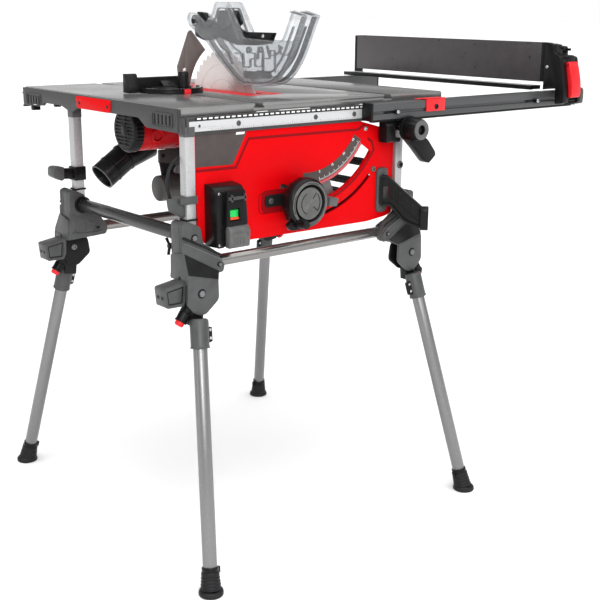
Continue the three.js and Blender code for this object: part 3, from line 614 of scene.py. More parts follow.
# Slot walls in the darker red: painted shade inside the slot.
s = Shape()
end = [on_tilt(251, 47.6), on_tilt(238, 47.6)]
for line in (tilt_arc(249.8, -8, 47, 3), tilt_arc(239.2, -8, 47, 3), end):
    s.ribbon("y", line, 1.8, PANEL_Y + 2, PANEL_Y + 10.8)
s.done("slot_walls", "red_painted_shade", "stand", 0)
s = Shape()
s.prism("y", tilt_band(250.6, 238.4, -7, 47, 2), PANEL_Y + 9.4, PANEL_Y + 10.8)
s.done("slot_back", "black", "stand", 0)
s = Shape()
for z in (756, 708, 677):
    s.box(255, 265, -204, 200, z - 9, z + 4, r=2, axis="y")
    s.box(255.5, 262, -204, 200, z + 4, z + 9)
s.box(254.5, 265.5, 194, 202, 664, 772, r=2, axis="y")
s.done("side_rungs", "black", "stand", 0.5)
# dark oval boss with the lock slot, left of the wheel; its darker red is painted shade of the recess
s = Shape()
s.prism("y", [(-106, 739, 14), (-40, 739), (-40, 692), (-106, 692, 14)], PANEL_Y - 0.45, PANEL_Y + 0.4)
s.done("lock_recess", "red_painted_shade", "stand", 0)
s = Shape()
s.prism("y", [(-98, 729, 11), (-50, 729), (-50, 704), (-98, 704, 11)], PANEL_Y - 1.6, PANEL_Y + 0.4)
s.done("lock_slot", "black", "stand", 0)
screw((-82, PANEL_Y - 1.4, 716), (0, -1, 0), 6, 2.6, name="slot_bolt", mat="bracket")

# ------------------------------------------------------------ handwheel, crank
WHEEL_X, WHEEL_Z = -21.0, 711.5
s = Shape()
wheel = [(14, 3), (14, -2), (49, -2), (50.5, 0.5), (51.8, 4), (52, 18), (50.5, 23), (46.5, 27.5),
        (40, 28.5), (37.5, 26.5), (36.3, 22), (34.8, 21.5), (33.2, 25.4), (10, 26.2), (0.01, 26.4)]
s.turn((WHEEL_X, -252, WHEEL_Z), (0, -1, 0), wheel, 72)
s.rod((WHEEL_X, -253, WHEEL_Z), (WHEEL_X, -190, WHEEL_Z), 6, n=24)
s.turn((WHEEL_X, -194, WHEEL_Z), (0, -1, 0), [(9, 0), (6, 9), (5, 9)], 24)
s.done("handwheel_body", "black", "handwheel", 0.5, replaces=["handwheel"], slot="dark_plastic", angle=40)
s = Shape()
s.turn((WHEEL_X, -278.0, WHEEL_Z), (0, -1, 0), [(33.2, -0.4), (33.0, 0.6), (10, 0.9), (0.01, 1)], 64)
s.turn((WHEEL_X, -279.6, WHEEL_Z), (0, -1, 0), [(45.6, 0), (45.2, 1.5), (40.2, 1.9), (39.6, 0.6),
        (39.6, 0)], 72, closed=True)
s.done("wheel_face", "grey", "handwheel", 0)
s = Shape()
for k in range(12):
    a = math.radians(k * 30 + 8)
    u = Vector((math.cos(a), 0, math.sin(a)))
    t = Vector((-math.sin(a), 0, math.cos(a)))
    c = Vector((WHEEL_X, -260, WHEEL_Z)) + u * 50.4
    section = [c + t * q + u * h for q, h in ((-4, 0), (-3, 1.7), (3, 1.7), (4, 0))]
    s.loft([[p + Vector((0, y, 0)) for p in section] for y in (-8, 8)])
s.done("wheel_grips", "black", "handwheel", 0.3)
s = Shape()
for a0, a1, r in ((110, 250, 22), (-40, 40, 27), (60, 100, 42.5), (150, 205, 42.5), (250, 300, 42.5)):
    y = -279.3 if r < 30 else -281.4
    s.ribbon("y", arc(WHEEL_X, WHEEL_Z, r, a0, a1, 12), 1.1, y - 0.35, y + 0.8)
for a in (50, -38):
    s.ribbon("y", [polar(WHEEL_X, WHEEL_Z, 12, a), polar(WHEEL_X, WHEEL_Z, 27, a)], 1.1, -279.7, -277.9)
s.done("wheel_lines", "black", "handwheel", 0)
s = Shape()
s.turn((WHEEL_X - 27, -279, WHEEL_Z - 38), (0, -1, 0), [(5, -14), (5, 0), (10.2, 1), (10.6, 3), (9.2, 6),
        (8.2, 18), (8.8, 22.6), (7.4, 24.6), (0.01, 25)], 28)
s.done("crank_grip", "black", "crank", 0.4, replaces=["crank_knob"], slot="dark_plastic")
s = Shape()
s.prism("y", [(WHEEL_X - 44, WHEEL_Z - 33, 5), (WHEEL_X - 52, WHEEL_Z - 40, 5),
        (WHEEL_X - 46, WHEEL_Z - 52, 6), (WHEEL_X - 12, WHEEL_Z - 52, 10), (WHEEL_X - 10, WHEEL_Z - 44, 4)],
        -276, -262)
s.done("crank_boss", "black", "handwheel", 0.8)

# ------------------------------------------------------------ bevel lock lever
s = Shape()
s.pipe((WHEEL_X, -249, WHEEL_Z), (WHEEL_X, -238.2, WHEEL_Z), 18, 6.6, 36)
s.prism("y", [(WHEEL_X + 12, WHEEL_Z - 5, 2), (WHEEL_X + 88, WHEEL_Z - 16, 4), (WHEEL_X + 92, WHEEL_Z - 2,
        4), (WHEEL_X + 12, WHEEL_Z + 9, 2)], -247, -240)
s.done("bevel_lever", "black", "bevel_lock", 0.7, replaces=["bevel_lock"], slot="dark_plastic")
s = Shape()
s.prism("y", [(WHEEL_X + 66, WHEEL_Z - 16, 3), (WHEEL_X + 90, WHEEL_Z - 18, 4),
        (WHEEL_X + 95, WHEEL_Z - 1, 4), (WHEEL_X + 70, WHEEL_Z + 3, 3)], -263, -239)
s.done("bevel_tab", "grey", "bevel_lock", 1.2)

# ----------------------------------------------------------------- the switch
s = Shape()
s.prism("x", [(PANEL_Y - 0.2, 645), (PANEL_Y - 0.2, 768, 3), (-256, 764, 8), (-265, 752, 4),
        (-265, 647, 3)], -246, -177)
s.prism("x", [(-262, 756), (-266, 752, 2), (-266, 648, 2), (-262, 646)], -229, -175)
s.done("switch_housing", "black", "stand", 0.9, replaces=["switch_box"], slot="dark_plastic")
s = Shape()
for x in (-240, -236):
    s.box(x, x + 1.6, -266.2, -264.8, 650, 748, axis="y")
s.box(-245.5, -228, -267.4, -265.2, 646, 757, r=4, axis="y")
s.done("switch_trim", "black", "stand", 0.4)
s = Shape()
bezel = [(-229.5, 690, 2), (-179, 690, 2), (-181, 748, 3), (-185, 757, 4), (-225, 757, 3)]
s.sheet(bezel, [rect(-220.6, -197.4, 698.5, 722.5)], "y", -277.6, -267)
for v in s.bm.verts:
    v.co.y += (v.co.z - 690) * 0.055
s.done("switch_bezel", "black", "stand", 0.8)
s = Shape()
s.box(-224, -183, -279.5, -272, 740, 746, r=1, axis="y")
for x in (-219, -188):
    s.box(x, x + 4, -279.5, -271, 736, 750, r=1, axis="y")
s.done("switch_hinge", "skirt", "stand", 0.5)
s = Shape()
s.prism("x", [(-263, 701), (-263, 720.3, 1), (-272, 719.4, 2), (-271, 713, 4), (-271.6, 705.6)],
        -220.2, -197.8)
s.done("rocker_on", "green", "rocker", 0.5, replaces=["switch_rocker"], slot="green_switch")
s = Shape()
s.prism("x", [(-263, 701), (-271.8, 705.3), (-275.4, 701.8, 2), (-274.6, 700.6)], -220.2, -197.8)
s.done("rocker_off", "orange", "rocker", 0.3)
s = Shape()
s.prism("x", [(-267.6, 684), (-267, 646, 2), (-281, 645, 4), (-284, 680, 9), (-275, 688.7, 3)], -226, -177)
s.rod((-225.5, -272.5, 684), (-177.5, -272.5, 684), 5.1, n=24)
s.done("off_flap", "grey", "paddle", 1.0, replaces=["stop_paddle"], slot="grey_plastic")
s = Shape()
for i in range(3):
    for k in range(4):
        x, y, z = -214 + k * 7, -281.6 - i * 0.25, 654 + i * 5
        s.rod((x, y, z), (x, y - 1.8, z), 1.2, n=10)
s.ribbon("y", rounded([(-220, 668), (-218, 676, 6), (-184, 676, 6), (-182, 668)], 4), 1.0, -284.0, -282.6)
s.done("flap_dimples", "bracket", "paddle", 0)
for z in (753, 652):
    screw((-240, -266.8, z), (0, -1, 0), 2.6, 1.2, name=f"switch_screw_{z}", mat="steel")

# ------------------------------------------------------------------ lead hook
s = Shape()
s.prism("y", rect(214, 248, 656, 758, 14), PANEL_Y - 0.3, PANEL_Y - 5.8, taper=1.4)
s.done("hook_plate", "bracket", "stand", 0.9, replaces=["cord_hook"], slot="dark_plastic")
for z in (668, 746):
    screw((231, PANEL_Y - 5.6, z), (0, -1, 0), 5, 2.6, name=f"hook_bolt_{z}", mat="bracket")
turn = Matrix.Translation((226, -231, 0)) @ Matrix.Rotation(math.radians(-46), 4, "Z")
s = Shape()
web = rounded([(1, 676, 4), (1, 738, 4), (14, 739, 12), (92, 671, 6), (95, 667, 3), (95, 625, 3),
        (58, 636, 22), (22, 676, 8)], 5)
s.sheet(web, [rect(6, 17, 690, 716, 2)], "y", -2, 2, 3)
s.ribbon("y", web, 4.5, -7, 7, closed=True)
for u, z0, z1 in ((30, 684, 716), (44, 668, 704), (58, 650, 692), (72, 644, 680)):
    s.box(u - 1.2, u + 1.2, -5.5, 5.5, z0, z1)
s.ribbon("y", [(22, 690), (50, 668), (84, 640)], 2.4, -5.5, 5.5)
s.bm.transform(turn)
s.done("hook_arm", "black", "stand", 0.6)
s = Shape()
s.prism("x", [(-13, 620, 8), (13, 620, 8), (14, 673, 10), (-14, 673, 10)], 90, 108)
s.bm.transform(turn)
s.done("hook_tip", "black", "stand", 1.4)

# ------------------------------------------- rail knob, pinion, lever, bearing
KNOB_X, KNOB_Z = 276.0, 843.0
s = Shape()
s.prism("x", [(-232.5, 815, 4), (-257.5, 815, 5), (-257.5, 852, 5), (-250, 860, 3), (-232.5, 860, 2)],
        214, 238)
s.prism("y", [(238, 815, 5), (256, 815, 3), (256, 838), (296, 838), (302, 852, 4), (302, 858, 2),
        (238, 860, 2)], -243, -232.4)
s.prism("y", [(236, 815, 5), (258, 815, 3), (258, 824), (236, 824)], -257, -242)
s.done("bearing_block", "black", "stand", 1.0, replaces=["rail_bearing"], slot="dark_plastic")
s = Shape()
s.rod((KNOB_X, -236, KNOB_Z), (KNOB_X, -275, KNOB_Z), 6, n=24)
s.prism("y", [polar(KNOB_X, KNOB_Z, 17 if k % 3 else 14.6, 10 * k) for k in range(36)], -246, -256.5)
s.done("pinion", "steel", "rail_knob", 0.3)
s = Shape()
# rings of the grip: y, share of the full radius, dip of the scallops
grip = ((-268.4, 1, 1.5), (-271, 1.03, 1.5), (-283, 1, 1.5), (-296, 0.93, 1.5), (-301, 0.86, 1.5),
        (-302, 0.78, 1.5), (-302, 0.4, 0), (-300.8, 0.37, 0), (-292, 0.35, 0))
s.loft([scalloped(AXES["y"], KNOB_X, KNOB_Z, y, 26.2 * f, dip, 8, 3, 64) for y, f, dip in grip])
s.done("knob_grip", "black", "rail_knob", 0.4, replaces=["rail_knob"], slot="dark_plastic", angle=38)
s = Shape()
s.turn((KNOB_X, -301.2, KNOB_Z), (0, -1, 0), [(21.5, 0), (21.2, 1.8), (11.2, 1.9), (10.4, 0.6),
        (10.4, 0.2)], 56, closed=True)
s.done("knob_ring", "grey", "rail_knob", 0)
s = Shape()
s.rod((KNOB_X, -293.5, KNOB_Z), (KNOB_X, -292.2, KNOB_Z), 9.6, n=28)
s.done("knob_socket", "rubber", "rail_knob", 0)
s = Shape()
s.pipe((KNOB_X, -260.6, KNOB_Z), (KNOB_X, -267.6, KNOB_Z), 28, 6.6, 48)
s.prism("y", [(KNOB_X - 20, KNOB_Z - 20, 3), (KNOB_X + 4, KNOB_Z - 42, 6), (KNOB_X + 36, KNOB_Z - 74, 4),
        (KNOB_X + 46, KNOB_Z - 78, 4), (KNOB_X + 67, KNOB_Z - 62, 4), (KNOB_X + 66, KNOB_Z - 54, 4),
        (KNOB_X + 42, KNOB_Z - 26, 6), (KNOB_X + 24, KNOB_Z - 14, 4)], -284, -262.5)
s.done("lock_lever", "black", "rail_lock", 1.3, replaces=["rail_lock_lever"], slot="dark_plastic")

# --------------------------------------------------------------- sliding rails
RAIL_X0, RAIL_X1 = 162.0, 880.0
rail = [(-234.6, 901.6, 1), (-259.3, 901.6, 2), (-259.3, 884.6, 1), (-255.4, 883.4), (-255.4, 878.8),
        (-259.3, 877.6, 1), (-259.3, 867.4, 2), (-257, 865.8, 1), (-234.6, 865.8, 1)]
s = Shape()
s.prism("x", rail, RAIL_X0 + 6, RAIL_X1)
s.done("front_rail_body", "rail", "front_rail", 0.5, replaces=["front_rail"], slot="rail_alu")
s = Shape()
rack = [(RAIL_X0 + 6, 866)]
x = RAIL_X0 + 8
while x < RAIL_X1 - 10:
    rack += [(x, 864.2), (x + 1.3, 861), (x + 2.5, 861), (x + 3.8, 864.2)]
    x += 5.0
rack += [(RAIL_X1 - 4, 864.2), (RAIL_X1 - 4, 866)]
s.prism("y", rack, -257, -246.5)
s.done("rack", "black", "front_rail", 0)
s = Shape()
s.prism("x", rect(-233.2, -261.2, 903, 864.5, 2), RAIL_X0, RAIL_X0 + 7)
s.done("rail_cap_left", "black", "front_rail", 0.8)
s = Shape()
s.prism("x", [(-231.5, 907.5, 2), (-268, 906, 4), (-272, 900, 3), (-272, 869, 4), (-268, 866, 3),
        (-231.5, 866, 2)], RAIL_X1 - 2, RAIL_X1 + 17)
s.prism("x", [(-232.5, 906, 3), (-262, 904, 5), (-268, 896, 4), (-268, 873, 4), (-262, 868, 4),
        (-232.5, 868, 3)], RAIL_X1 + 16, RAIL_X1 + 26, taper=2)
s.done("rail_cap_right", "bracket", "front_rail", 1.4)
s = Shape()
s.prism("y", [(RAIL_X1 - 6, 862, 2), (RAIL_X1 + 6, 862, 2), (RAIL_X1 + 6, 867), (RAIL_X1 - 6, 867)],
        -258, -244)
s.done("rail_cap_bolt", "steel", "front_rail", 0.6)
s = Shape()
s.prism("y", [(331, 876.5, 2), (391, 876.5, 2), (391, 905.4, 1), (331, 905.4, 1)], -261.9, -259.6)
s.prism("x", [(-261.9, 903), (-261.9, 905, 0.8), (-238, 905, 0.8), (-238, 903)], 331, 391)
s.prism("z", [(313, -240, 2), (334, -240), (334, -250), (322, -250, 3)], 903, 905)
s.done("cursor", "red_cap", "front_rail", 0.5)
screw((363, -261.8, 886), (0, -1, 0), 6, 2.4, body="front_rail", name="cursor_screw", mat="black")
s = Shape()
for x in (238, 720):
    s.prism("y", [(x - 34, 881.4), (x - 6, 884.6, 1), (x + 8, 884.6, 2), (x + 8, 877.4, 2),
            (x - 6, 877.4, 1), (x - 30, 879)], -258.6, -256)
    s.rod((x, -256, 881), (x, -266, 881), 5.2, n=24)
s.done("fence_pin_seats", "black", "front_rail", 0.4)
for x in (238, 720):
    screw((x, -265.8, 881), (0, -1, 0), 4.4, 3.0, body="front_rail", name=f"fence_pin_{x}", mat="steel")
s = Shape()
s.prism("x", [(442.2, 901.8, 1), (461.8, 901.8, 2), (461.8, 884, 1), (458.4, 882.6), (458.4, 878.6),
        (461.8, 877.4, 1), (461.8, 868.2, 2), (442.2, 868.2, 1)], RAIL_X0 + 5, 859.5)
s.done("rear_rail_body", "rail", "rear_rail", 0.5, replaces=["rear_rail"], slot="rail_alu")
s = Shape()
s.box(858, 862, 441.6, 462.4, 867.4, 902.6, r=2, axis="x")
s.box(RAIL_X0 + 3, RAIL_X0 + 7, 441.6, 462.4, 867.4, 902.6, r=2, axis="x")
s.prism("y", [(168, 868.6)] + [(170 + 2.5 * i, 865 if i % 2 else 862.6) for i in range(274)]
        + [(856, 868.6)], 447, 456)
s.done("rear_rail_caps", "black", "rear_rail", 0.4)

# ------------------------------------------------------------------- rip fence
FENCE_X = 780.0
s = Shape()
s.sheet([(FENCE_X, 922, 1.5), (FENCE_X + 26, 922, 1.5), (FENCE_X + 26, 1018, 2), (FENCE_X, 1018, 2)],
        [rect(FENCE_X + 2.4, FENCE_X + 23.6, 924.4, 966, 1), rect(FENCE_X + 2.4, FENCE_X + 23.6, 969,
        1015.6, 1)], "y", -221, 452)
s.done("fence_profile", "fence", "fence", 0.5, replaces=["fence_beam"], slot="fence_alu")
s = Shape()
s.box(FENCE_X + 0.8, FENCE_X + 25.2, 451.5, 463, 903, 1017, r=2, axis="y")
s.box(FENCE_X + 0.5, FENCE_X + 25.5, -235, -220.5, 922.5, 1017.5, r=1.5, axis="y")
for z in (990, 966, 946):
    s.box(FENCE_X - 1.2, FENCE_X + 1, -233, -222, z, z + 9, r=1.5, axis="y")
s.done("fence_ends", "black", "fence", 0.7)
s = Shape()
s.prism("x", [(-236, 904, 1), (-236, 1014, 3), (-243, 1017, 3), (-259, 1014, 4), (-263, 994, 5),
        (-270, 990, 5), (-281, 986, 8), (-292, 940, 30), (-299.5, 898, 6), (-299.5, 874, 4), (-275, 871, 3),
        (-273.6, 908), (-262, 908.4)], 775, 796)
s.prism("x", [(-236, 904, 1), (-236, 984, 3), (-263, 984, 5), (-281, 986, 8), (-292, 940, 30),
        (-299.5, 898, 6), (-299.5, 874, 4), (-275, 871, 3), (-273.6, 908), (-262, 908.4)], 834.4, 846)
s.prism("x", [(-236, 904, 1), (-236, 990, 3), (-281, 988, 6), (-283.6, 975), (-283.6, 909), (-262, 909)],
        795, 835)
s.prism("x", [(-280, 985), (-283.6, 986.5, 1), (-285, 981.5, 1), (-280, 981)], 795, 835)
s.done("fence_head_shell", "black", "fence", 1.4, replaces=["fence_head"], slot="dark_plastic")
s = Shape()
s.prism("x", [(-240, 986), (-240, 1016, 2), (-258, 1013, 4), (-260, 988)], 796, 814)
s.prism("x", [(-240, 986), (-240, 1010, 2), (-252, 1008, 4), (-254, 988)], 818, 845)
for x, z in ((812, 1002), (826, 992), (838, 998)):
    s.box(x, x + 6, -263, -238, z, z + 6, r=1, axis="y")
s.done("head_blocks", "black", "fence", 0.9)
s = Shape()
for z in (888, 880, 873):
    s.box(798, 832, -296, -286, z - 3, z + 1.5, r=1, axis="y")
s.rod((797, -290, 878), (833, -290, 878), 3, n=16)
s.done("head_hook", "black", "fence", 0.4)
screw((773.8, -246, 960), (-1, 0, 0), 4, 1.6, body="fence", name="head_screw", mat="steel")
s = Shape()
s.prism("x", [(-286, 966), (-294.4, 970.5, 3), (-301, 950, 20), (-307, 925, 20), (-309, 897, 10),
        (-306.5, 888, 4), (-300, 886, 4), (-287, 900, 8)], 797.4, 832.6)
s.rod((797.4, -289.5, 968), (832.6, -289.5, 968), 5.2, n=24)
s.done("latch_lever", "red_cap", "latch", 2.0, replaces=["fence_latch"], slot="red_plastic", segments=3)
s = Shape()
s.box(738.5, 777.6, -227, 462.4, 905.8, 912.8, r=2, axis="y")
s.box(738, 746, -228, 463, 904.2, 914.4, r=2, axis="y")
s.box(739, 777, -228, -214, 905, 914.4, r=2, axis="z")
s.done("ledge_body", "black", "ledge", 0.8, replaces=["fence_ledge"], slot="dark_plastic")
Shape().box(747, 777, -213, 452, 912.6, 914.4).done("ledge_strip", "silver", "ledge", 0.3)
screw((756, -221, 914.2), (0, 0, 1), 3.4, 0.5, body="ledge", name="ledge_screw", mat="steel")

# ---------------------------------------------------------------- mitre gauge
GAUGE_X, GAUGE_Y = -103.0, 115.0
s = Shape()
s.box(GAUGE_X - 9.4, GAUGE_X + 9.4, 40, 345, 905.8, 914.6, r=2, axis="z")
s.rod((GAUGE_X, GAUGE_Y, 913), (GAUGE_X, GAUGE_Y, 934.6), 5, n=20)
s.done("gauge_bar", "steel", "miter", 0.5, replaces=["miter_bar"], slot="steel_tube")
s = Shape()
fan = [(GAUGE_X + 78, GAUGE_Y + 6), (GAUGE_X + 74, GAUGE_Y + 12), (GAUGE_X - 74, GAUGE_Y + 12),
       (GAUGE_X - 78, GAUGE_Y + 6)] + arc(GAUGE_X, GAUGE_Y, 78, 180, 360, 36)
s.sheet(fan, [circle(GAUGE_X, GAUGE_Y, 5.4), circle(GAUGE_X, GAUGE_Y - 62, 4.7),
        arc(GAUGE_X, GAUGE_Y, 69, 196, 258, 12) + arc(GAUGE_X, GAUGE_Y, 62, 258, 196, 12),
        arc(GAUGE_X, GAUGE_Y, 69, 282, 344, 12) + arc(GAUGE_X, GAUGE_Y, 62, 344, 282, 12)], "z", 916,
        921, 3)
s.sheet([(GAUGE_X - 52, GAUGE_Y + 8), (GAUGE_X + 52, GAUGE_Y + 8)] + arc(GAUGE_X, GAUGE_Y, 52, 0, -180, 24),
        [circle(GAUGE_X, GAUGE_Y, 5.4)], "z", 920.8, 928, 3)
s.ribbon("z", arc(GAUGE_X, GAUGE_Y, 74, 184, 356, 36), 6, 920.6, 926.5)
s.prism("x", [(GAUGE_Y + 4, 916.4), (GAUGE_Y + 4, 948, 3), (GAUGE_Y + 15.6, 948, 3),
        (GAUGE_Y + 15.6, 916.4)], -207, -45)
s.prism("x", [(GAUGE_Y - 10, 916.4), (GAUGE_Y - 10, 926, 4), (GAUGE_Y + 2, 956.5, 4),
        (GAUGE_Y + 15.8, 956.5, 2), (GAUGE_Y + 15.8, 916.4)], -208, -181)
s.prism("x", [(GAUGE_Y - 12, 920), (GAUGE_Y - 12, 929, 3), (GAUGE_Y + 3, 940, 3), (GAUGE_Y + 6, 940),
        (GAUGE_Y + 6, 920)], GAUGE_X - 18, GAUGE_X + 18)
s.rod((GAUGE_X, GAUGE_Y, 927), (GAUGE_X, GAUGE_Y, 934.4), 9, n=28)
s.done("gauge_head", "black", "miter_head", 0.8, replaces=["miter_head"], slot="dark_plastic")
s = Shape()
s.box(-176, -46, GAUGE_Y + 15.7, GAUGE_Y + 16.6, 918, 946, r=2, axis="y")
s.done("gauge_face", "rail", "miter_head", 0.3)
s = Shape()
for d in range(200, 341, 5):
    r0 = 71.5 if d % 15 else 69.5
    s.ribbon("z", [polar(GAUGE_X, GAUGE_Y, r0, d), polar(GAUGE_X, GAUGE_Y, 76, d)], 0.6, 926.4, 926.7)
s.done("gauge_ticks", "white", "miter_head", 0)
s = Shape()
s.prism("z", [(GAUGE_X - 8, 34, 3), (GAUGE_X + 8, 34, 3), (GAUGE_X + 8, 46, 2), (GAUGE_X - 8, 46, 2)],
        914.6, 925)
s.prism("z", [(GAUGE_X - 4, 44), (GAUGE_X + 4, 44), (GAUGE_X, 54, 1)], 914.6, 918)
s.done("gauge_pointer", "red_cap", "miter", 0.6)
s = Shape()
# rings of the knob: z, share of the full radius, dip of the scallops
grip = ((915.4, 0.34, 0), (926.4, 0.34, 0), (926.6, 0.96, 0.8), (929, 1, 0.8), (955, 1, 0.8),
        (960, 0.94, 0.8), (961.8, 0.84, 0.8))
s.loft([scalloped(AXES["z"], GAUGE_X, GAUGE_Y - 62, z, 12 * f, dip, 12, 2, 48) for z, f, dip in grip])
s.done("gauge_knob", "black", "miter_knob", 0.4, replaces=["miter_knob"], slot="dark_plastic", angle=38)

# ------------------------------------------------- stand: castings, legs, feet
PIVOT_X, PIVOT_Z = 288.5, 564.0
for key, (sx, sy) in CORNERS.items():
    Y = lambda v: sy * v
    whole = [(312, 699, 6), (300, 703, 4), (272, 690, 6), (266, 658, 4), (234, 637, 6), (216, 610, 5),
            (221, 592, 5), (252, 592, 3), (262, 588), (319, 588), (312, 632, 8)]
    inner = 228.2 if sy < 0 else 206
    s = Shape()
    s.prism("y", flip([(311, 698, 6), (300, 702, 4), (273, 689, 6), (267, 657, 4), (235, 636, 6),
            (217, 610, 5), (222, 593, 5), (318, 589), (311, 632, 8)], sx), Y(inner), Y(247))
    s.prism("y", flip(whole, sx), Y(235.5), Y(240))
    s.prism("y", flip(whole, sx), Y(244), Y(247.4))
    if sy < 0:
        s.prism("y", flip([(312, 589), (312, 699, 6), (300, 703, 4), (291.2, 699), (291.2, 589)], sx),
                Y(206.2), Y(234))
        s.prism("y", flip([(317, 590), (311, 634, 8), (268, 634), (252, 630), (236, 622), (234, 596, 5),
                (262, 590)], sx), Y(206.6), Y(233.4))
    # face above the diagonal groove, then the arm below it, then the facet out to the fork
    s.prism("y", flip([(312, 676), (312, 699, 6), (300, 703, 4), (272, 690, 6), (266.4, 658, 4),
            (265, 652.5)], sx), Y(246), Y(250.2))
    s.prism("y", flip([(313, 665), (229, 623, 5), (217, 609, 5), (221, 594, 5), (233, 594), (313.6, 640)],
            sx), Y(246), Y(252.6))
    far = [(sx * 317, Y(210), 636), (sx * 313.6, Y(252.6), 645), (sx * 318, Y(273.4), 602),
           (sx * 318, Y(273.4), 588.4), (sx * 318, Y(210), 588.4)]
    near = [(sx * 236, Y(210), 593), (sx * 231, Y(252.6), 598), (sx * 248, Y(273.4), 586.5),
            (sx * 248, Y(273.4), 584), (sx * 243, Y(210), 591)]
    s.loft([far, near])
    s.done("casting_" + key, "bracket", "stand", 1.5, replaces=["bracket_" + key],
           slot="bracket_metal", angle=28)
    # Black strip along the diagonal groove: painted shade in the groove.
    s = Shape()
    s.ribbon("y", flip([(224, 628), (266, 650.5), (313, 673)], sx), 5.2, Y(246.6), Y(248.6))
    s.done("casting_groove_painted_shade_" + key, "black", "stand", 0)
    # Lighter grey lines along the arm's upper and lower edges: painted highlight on the lit edges.
    s = Shape()
    s.ribbon("y", flip([(228, 621), (312, 663.4)], sx), 1.6, Y(252.2), Y(253.1))
    s.ribbon("y", flip([(236, 597.4), (313, 640.6)], sx), 1.2, Y(252.2), Y(253.1))
    s.done("casting_painted_highlight_edges_" + key, "grey", "stand", 0)
    # Black strip on the downward facet under the arm: painted shade where the facet falls in shadow.
    s = Shape()
    under = []
    for a, b in (((313.2, 252.6, 643.5), (317.4, 273.4, 602)), ((232.5, 252.6, 597), (248.4, 273.4, 586.6))):
        ring = []
        for t, d in ((0.04, -1.0), (0.04, 1.0), (0.93, 1.0), (0.93, -1.0)):
            x, y, z = (p + (q - p) * t for p, q in zip(a, b))
            ring.append((sx * x, Y(y + d), z + d))
        under.append(ring)
    s.loft(under)
    s.done("casting_painted_shade_" + key, "black", "stand", 0)
    cheek = [(318, 601), (321, 545, 8), (305, 527, 8), (291, 521.5, 6), (279, 521.5, 6),
            (247, 547, 8), (248, 587)]
    s = Shape()
    s.prism("y", flip(cheek, sx), Y(266.9), Y(274))
    s.prism("y", flip([(318.4, 584), (318, 600), (262, 591), (262, 584)], sx), Y(239.3), Y(273.6))
    s.done("cheeks_" + key, "bracket", "stand", 1.2, slot="bracket_metal")
    s = Shape()
    s.prism("y", flip([(319, 598), (321, 545, 8), (305, 527, 8), (291, 521.5, 6), (279, 521.5, 6),
            (247, 547, 8), (252, 580, 6), (262, 591)], sx), Y(239), Y(246.1))
    s.done("inner_cheeks_" + key, "black", "stand", 1.2)
    s = Shape()
    s.pipe((sx * 280, Y(206), 667), (sx * 280, Y(200.6), 667), 19, 14.1, 40)
    s.pipe((sx * 247, Y(221), 610), (sx * 238, Y(221), 610), 15.4, 12.1, 36)
    s.sheet(flip(rect(266.5, 293.5, Y(207.5), Y(234.5), 2), sx), [flip(rect(269.3, 290.7, Y(210.3),
            Y(231.7)), sx)], "z", 700, 703.4)
    s.done("sockets_" + key, "black", "stand", 0.6)
    s = Shape()
    s.ribbon("y", flip([(306, 645), (262, 625), (232, 612)], sx), 2.4, Y(206.4), Y(204.2))
    s.ribbon("y", flip([(308, 604), (262, 600), (232, 602)], sx), 2.4, Y(206.4), Y(204.2))
    for x in (300, 276, 252):
        s.ribbon("y", flip([(x, 602), (x - 4, 632 - (300 - x) * 0.3)], sx), 2.0, Y(206.4), Y(204.6))
    s.box(sx * 311.4, sx * 312.6, Y(208), Y(211.5), 640, 652)
    s.done("casting_ribs_" + key, "bracket", "stand", 0.3)
    bolt((sx * 287, Y(250), 670), (0, sy, 0), 8, name="casting_bolt_" + key, mat="cast")
    bolt((sx * 231, Y(253.2), 611), (0, sy, 0), 5, name="arm_bolt_" + key, mat="cast")
    bolt((sx * PIVOT_X, Y(273.8), 565), (0, sy, 0), 9.5, name="pivot_bolt_" + key, mat="cast")
    screw((sx * PIVOT_X, Y(239.2), 565), (0, -sy, 0), 7, 3.4, name="pivot_nut_" + key, mat="cast")
    if sx < 0:
        s = Shape()
        foot = [(312, 592), (366, 583, 6), (362, 544, 6), (322, 543), (315, 556)]
        s.prism("y", flip(foot, sx), Y(228.2), Y(260.2))
        for y0, y1 in ((260, 262), (228.4, 226.6)):
            s.sheet(flip([(313, 591), (366, 583, 5), (362, 544, 5), (322, 543), (315, 556)], sx),
                    [flip([(321, 583), (360, 577, 4), (357, 549.5, 4), (325, 549), (321, 557)], sx)],
                    "y", Y(y0), Y(y1))
        s.done("side_foot_" + key, "bracket", "stand", 1.0, slot="bracket_metal")
        s = Shape()
        for y in (260.4, 228.2):
            s.ribbon("y", rounded([(-323, 581), (-358.6, 575.5, 4), (-355.8, 551, 4), (-326.4, 550.6)], 3),
                    2.2, Y(y), Y(y + 0.5 if y > 240 else y - 0.5), closed=True)
        s.done("foot_frame_" + key, "black", "stand", 0)
        s = Shape()
        for y in (237, 252):
            s.rod((-360, Y(y), PIVOT_Z), (-364.6, Y(y), 564.3), 4.2, n=20)
        s.done("foot_holes_" + key, "rubber", "stand", 0)

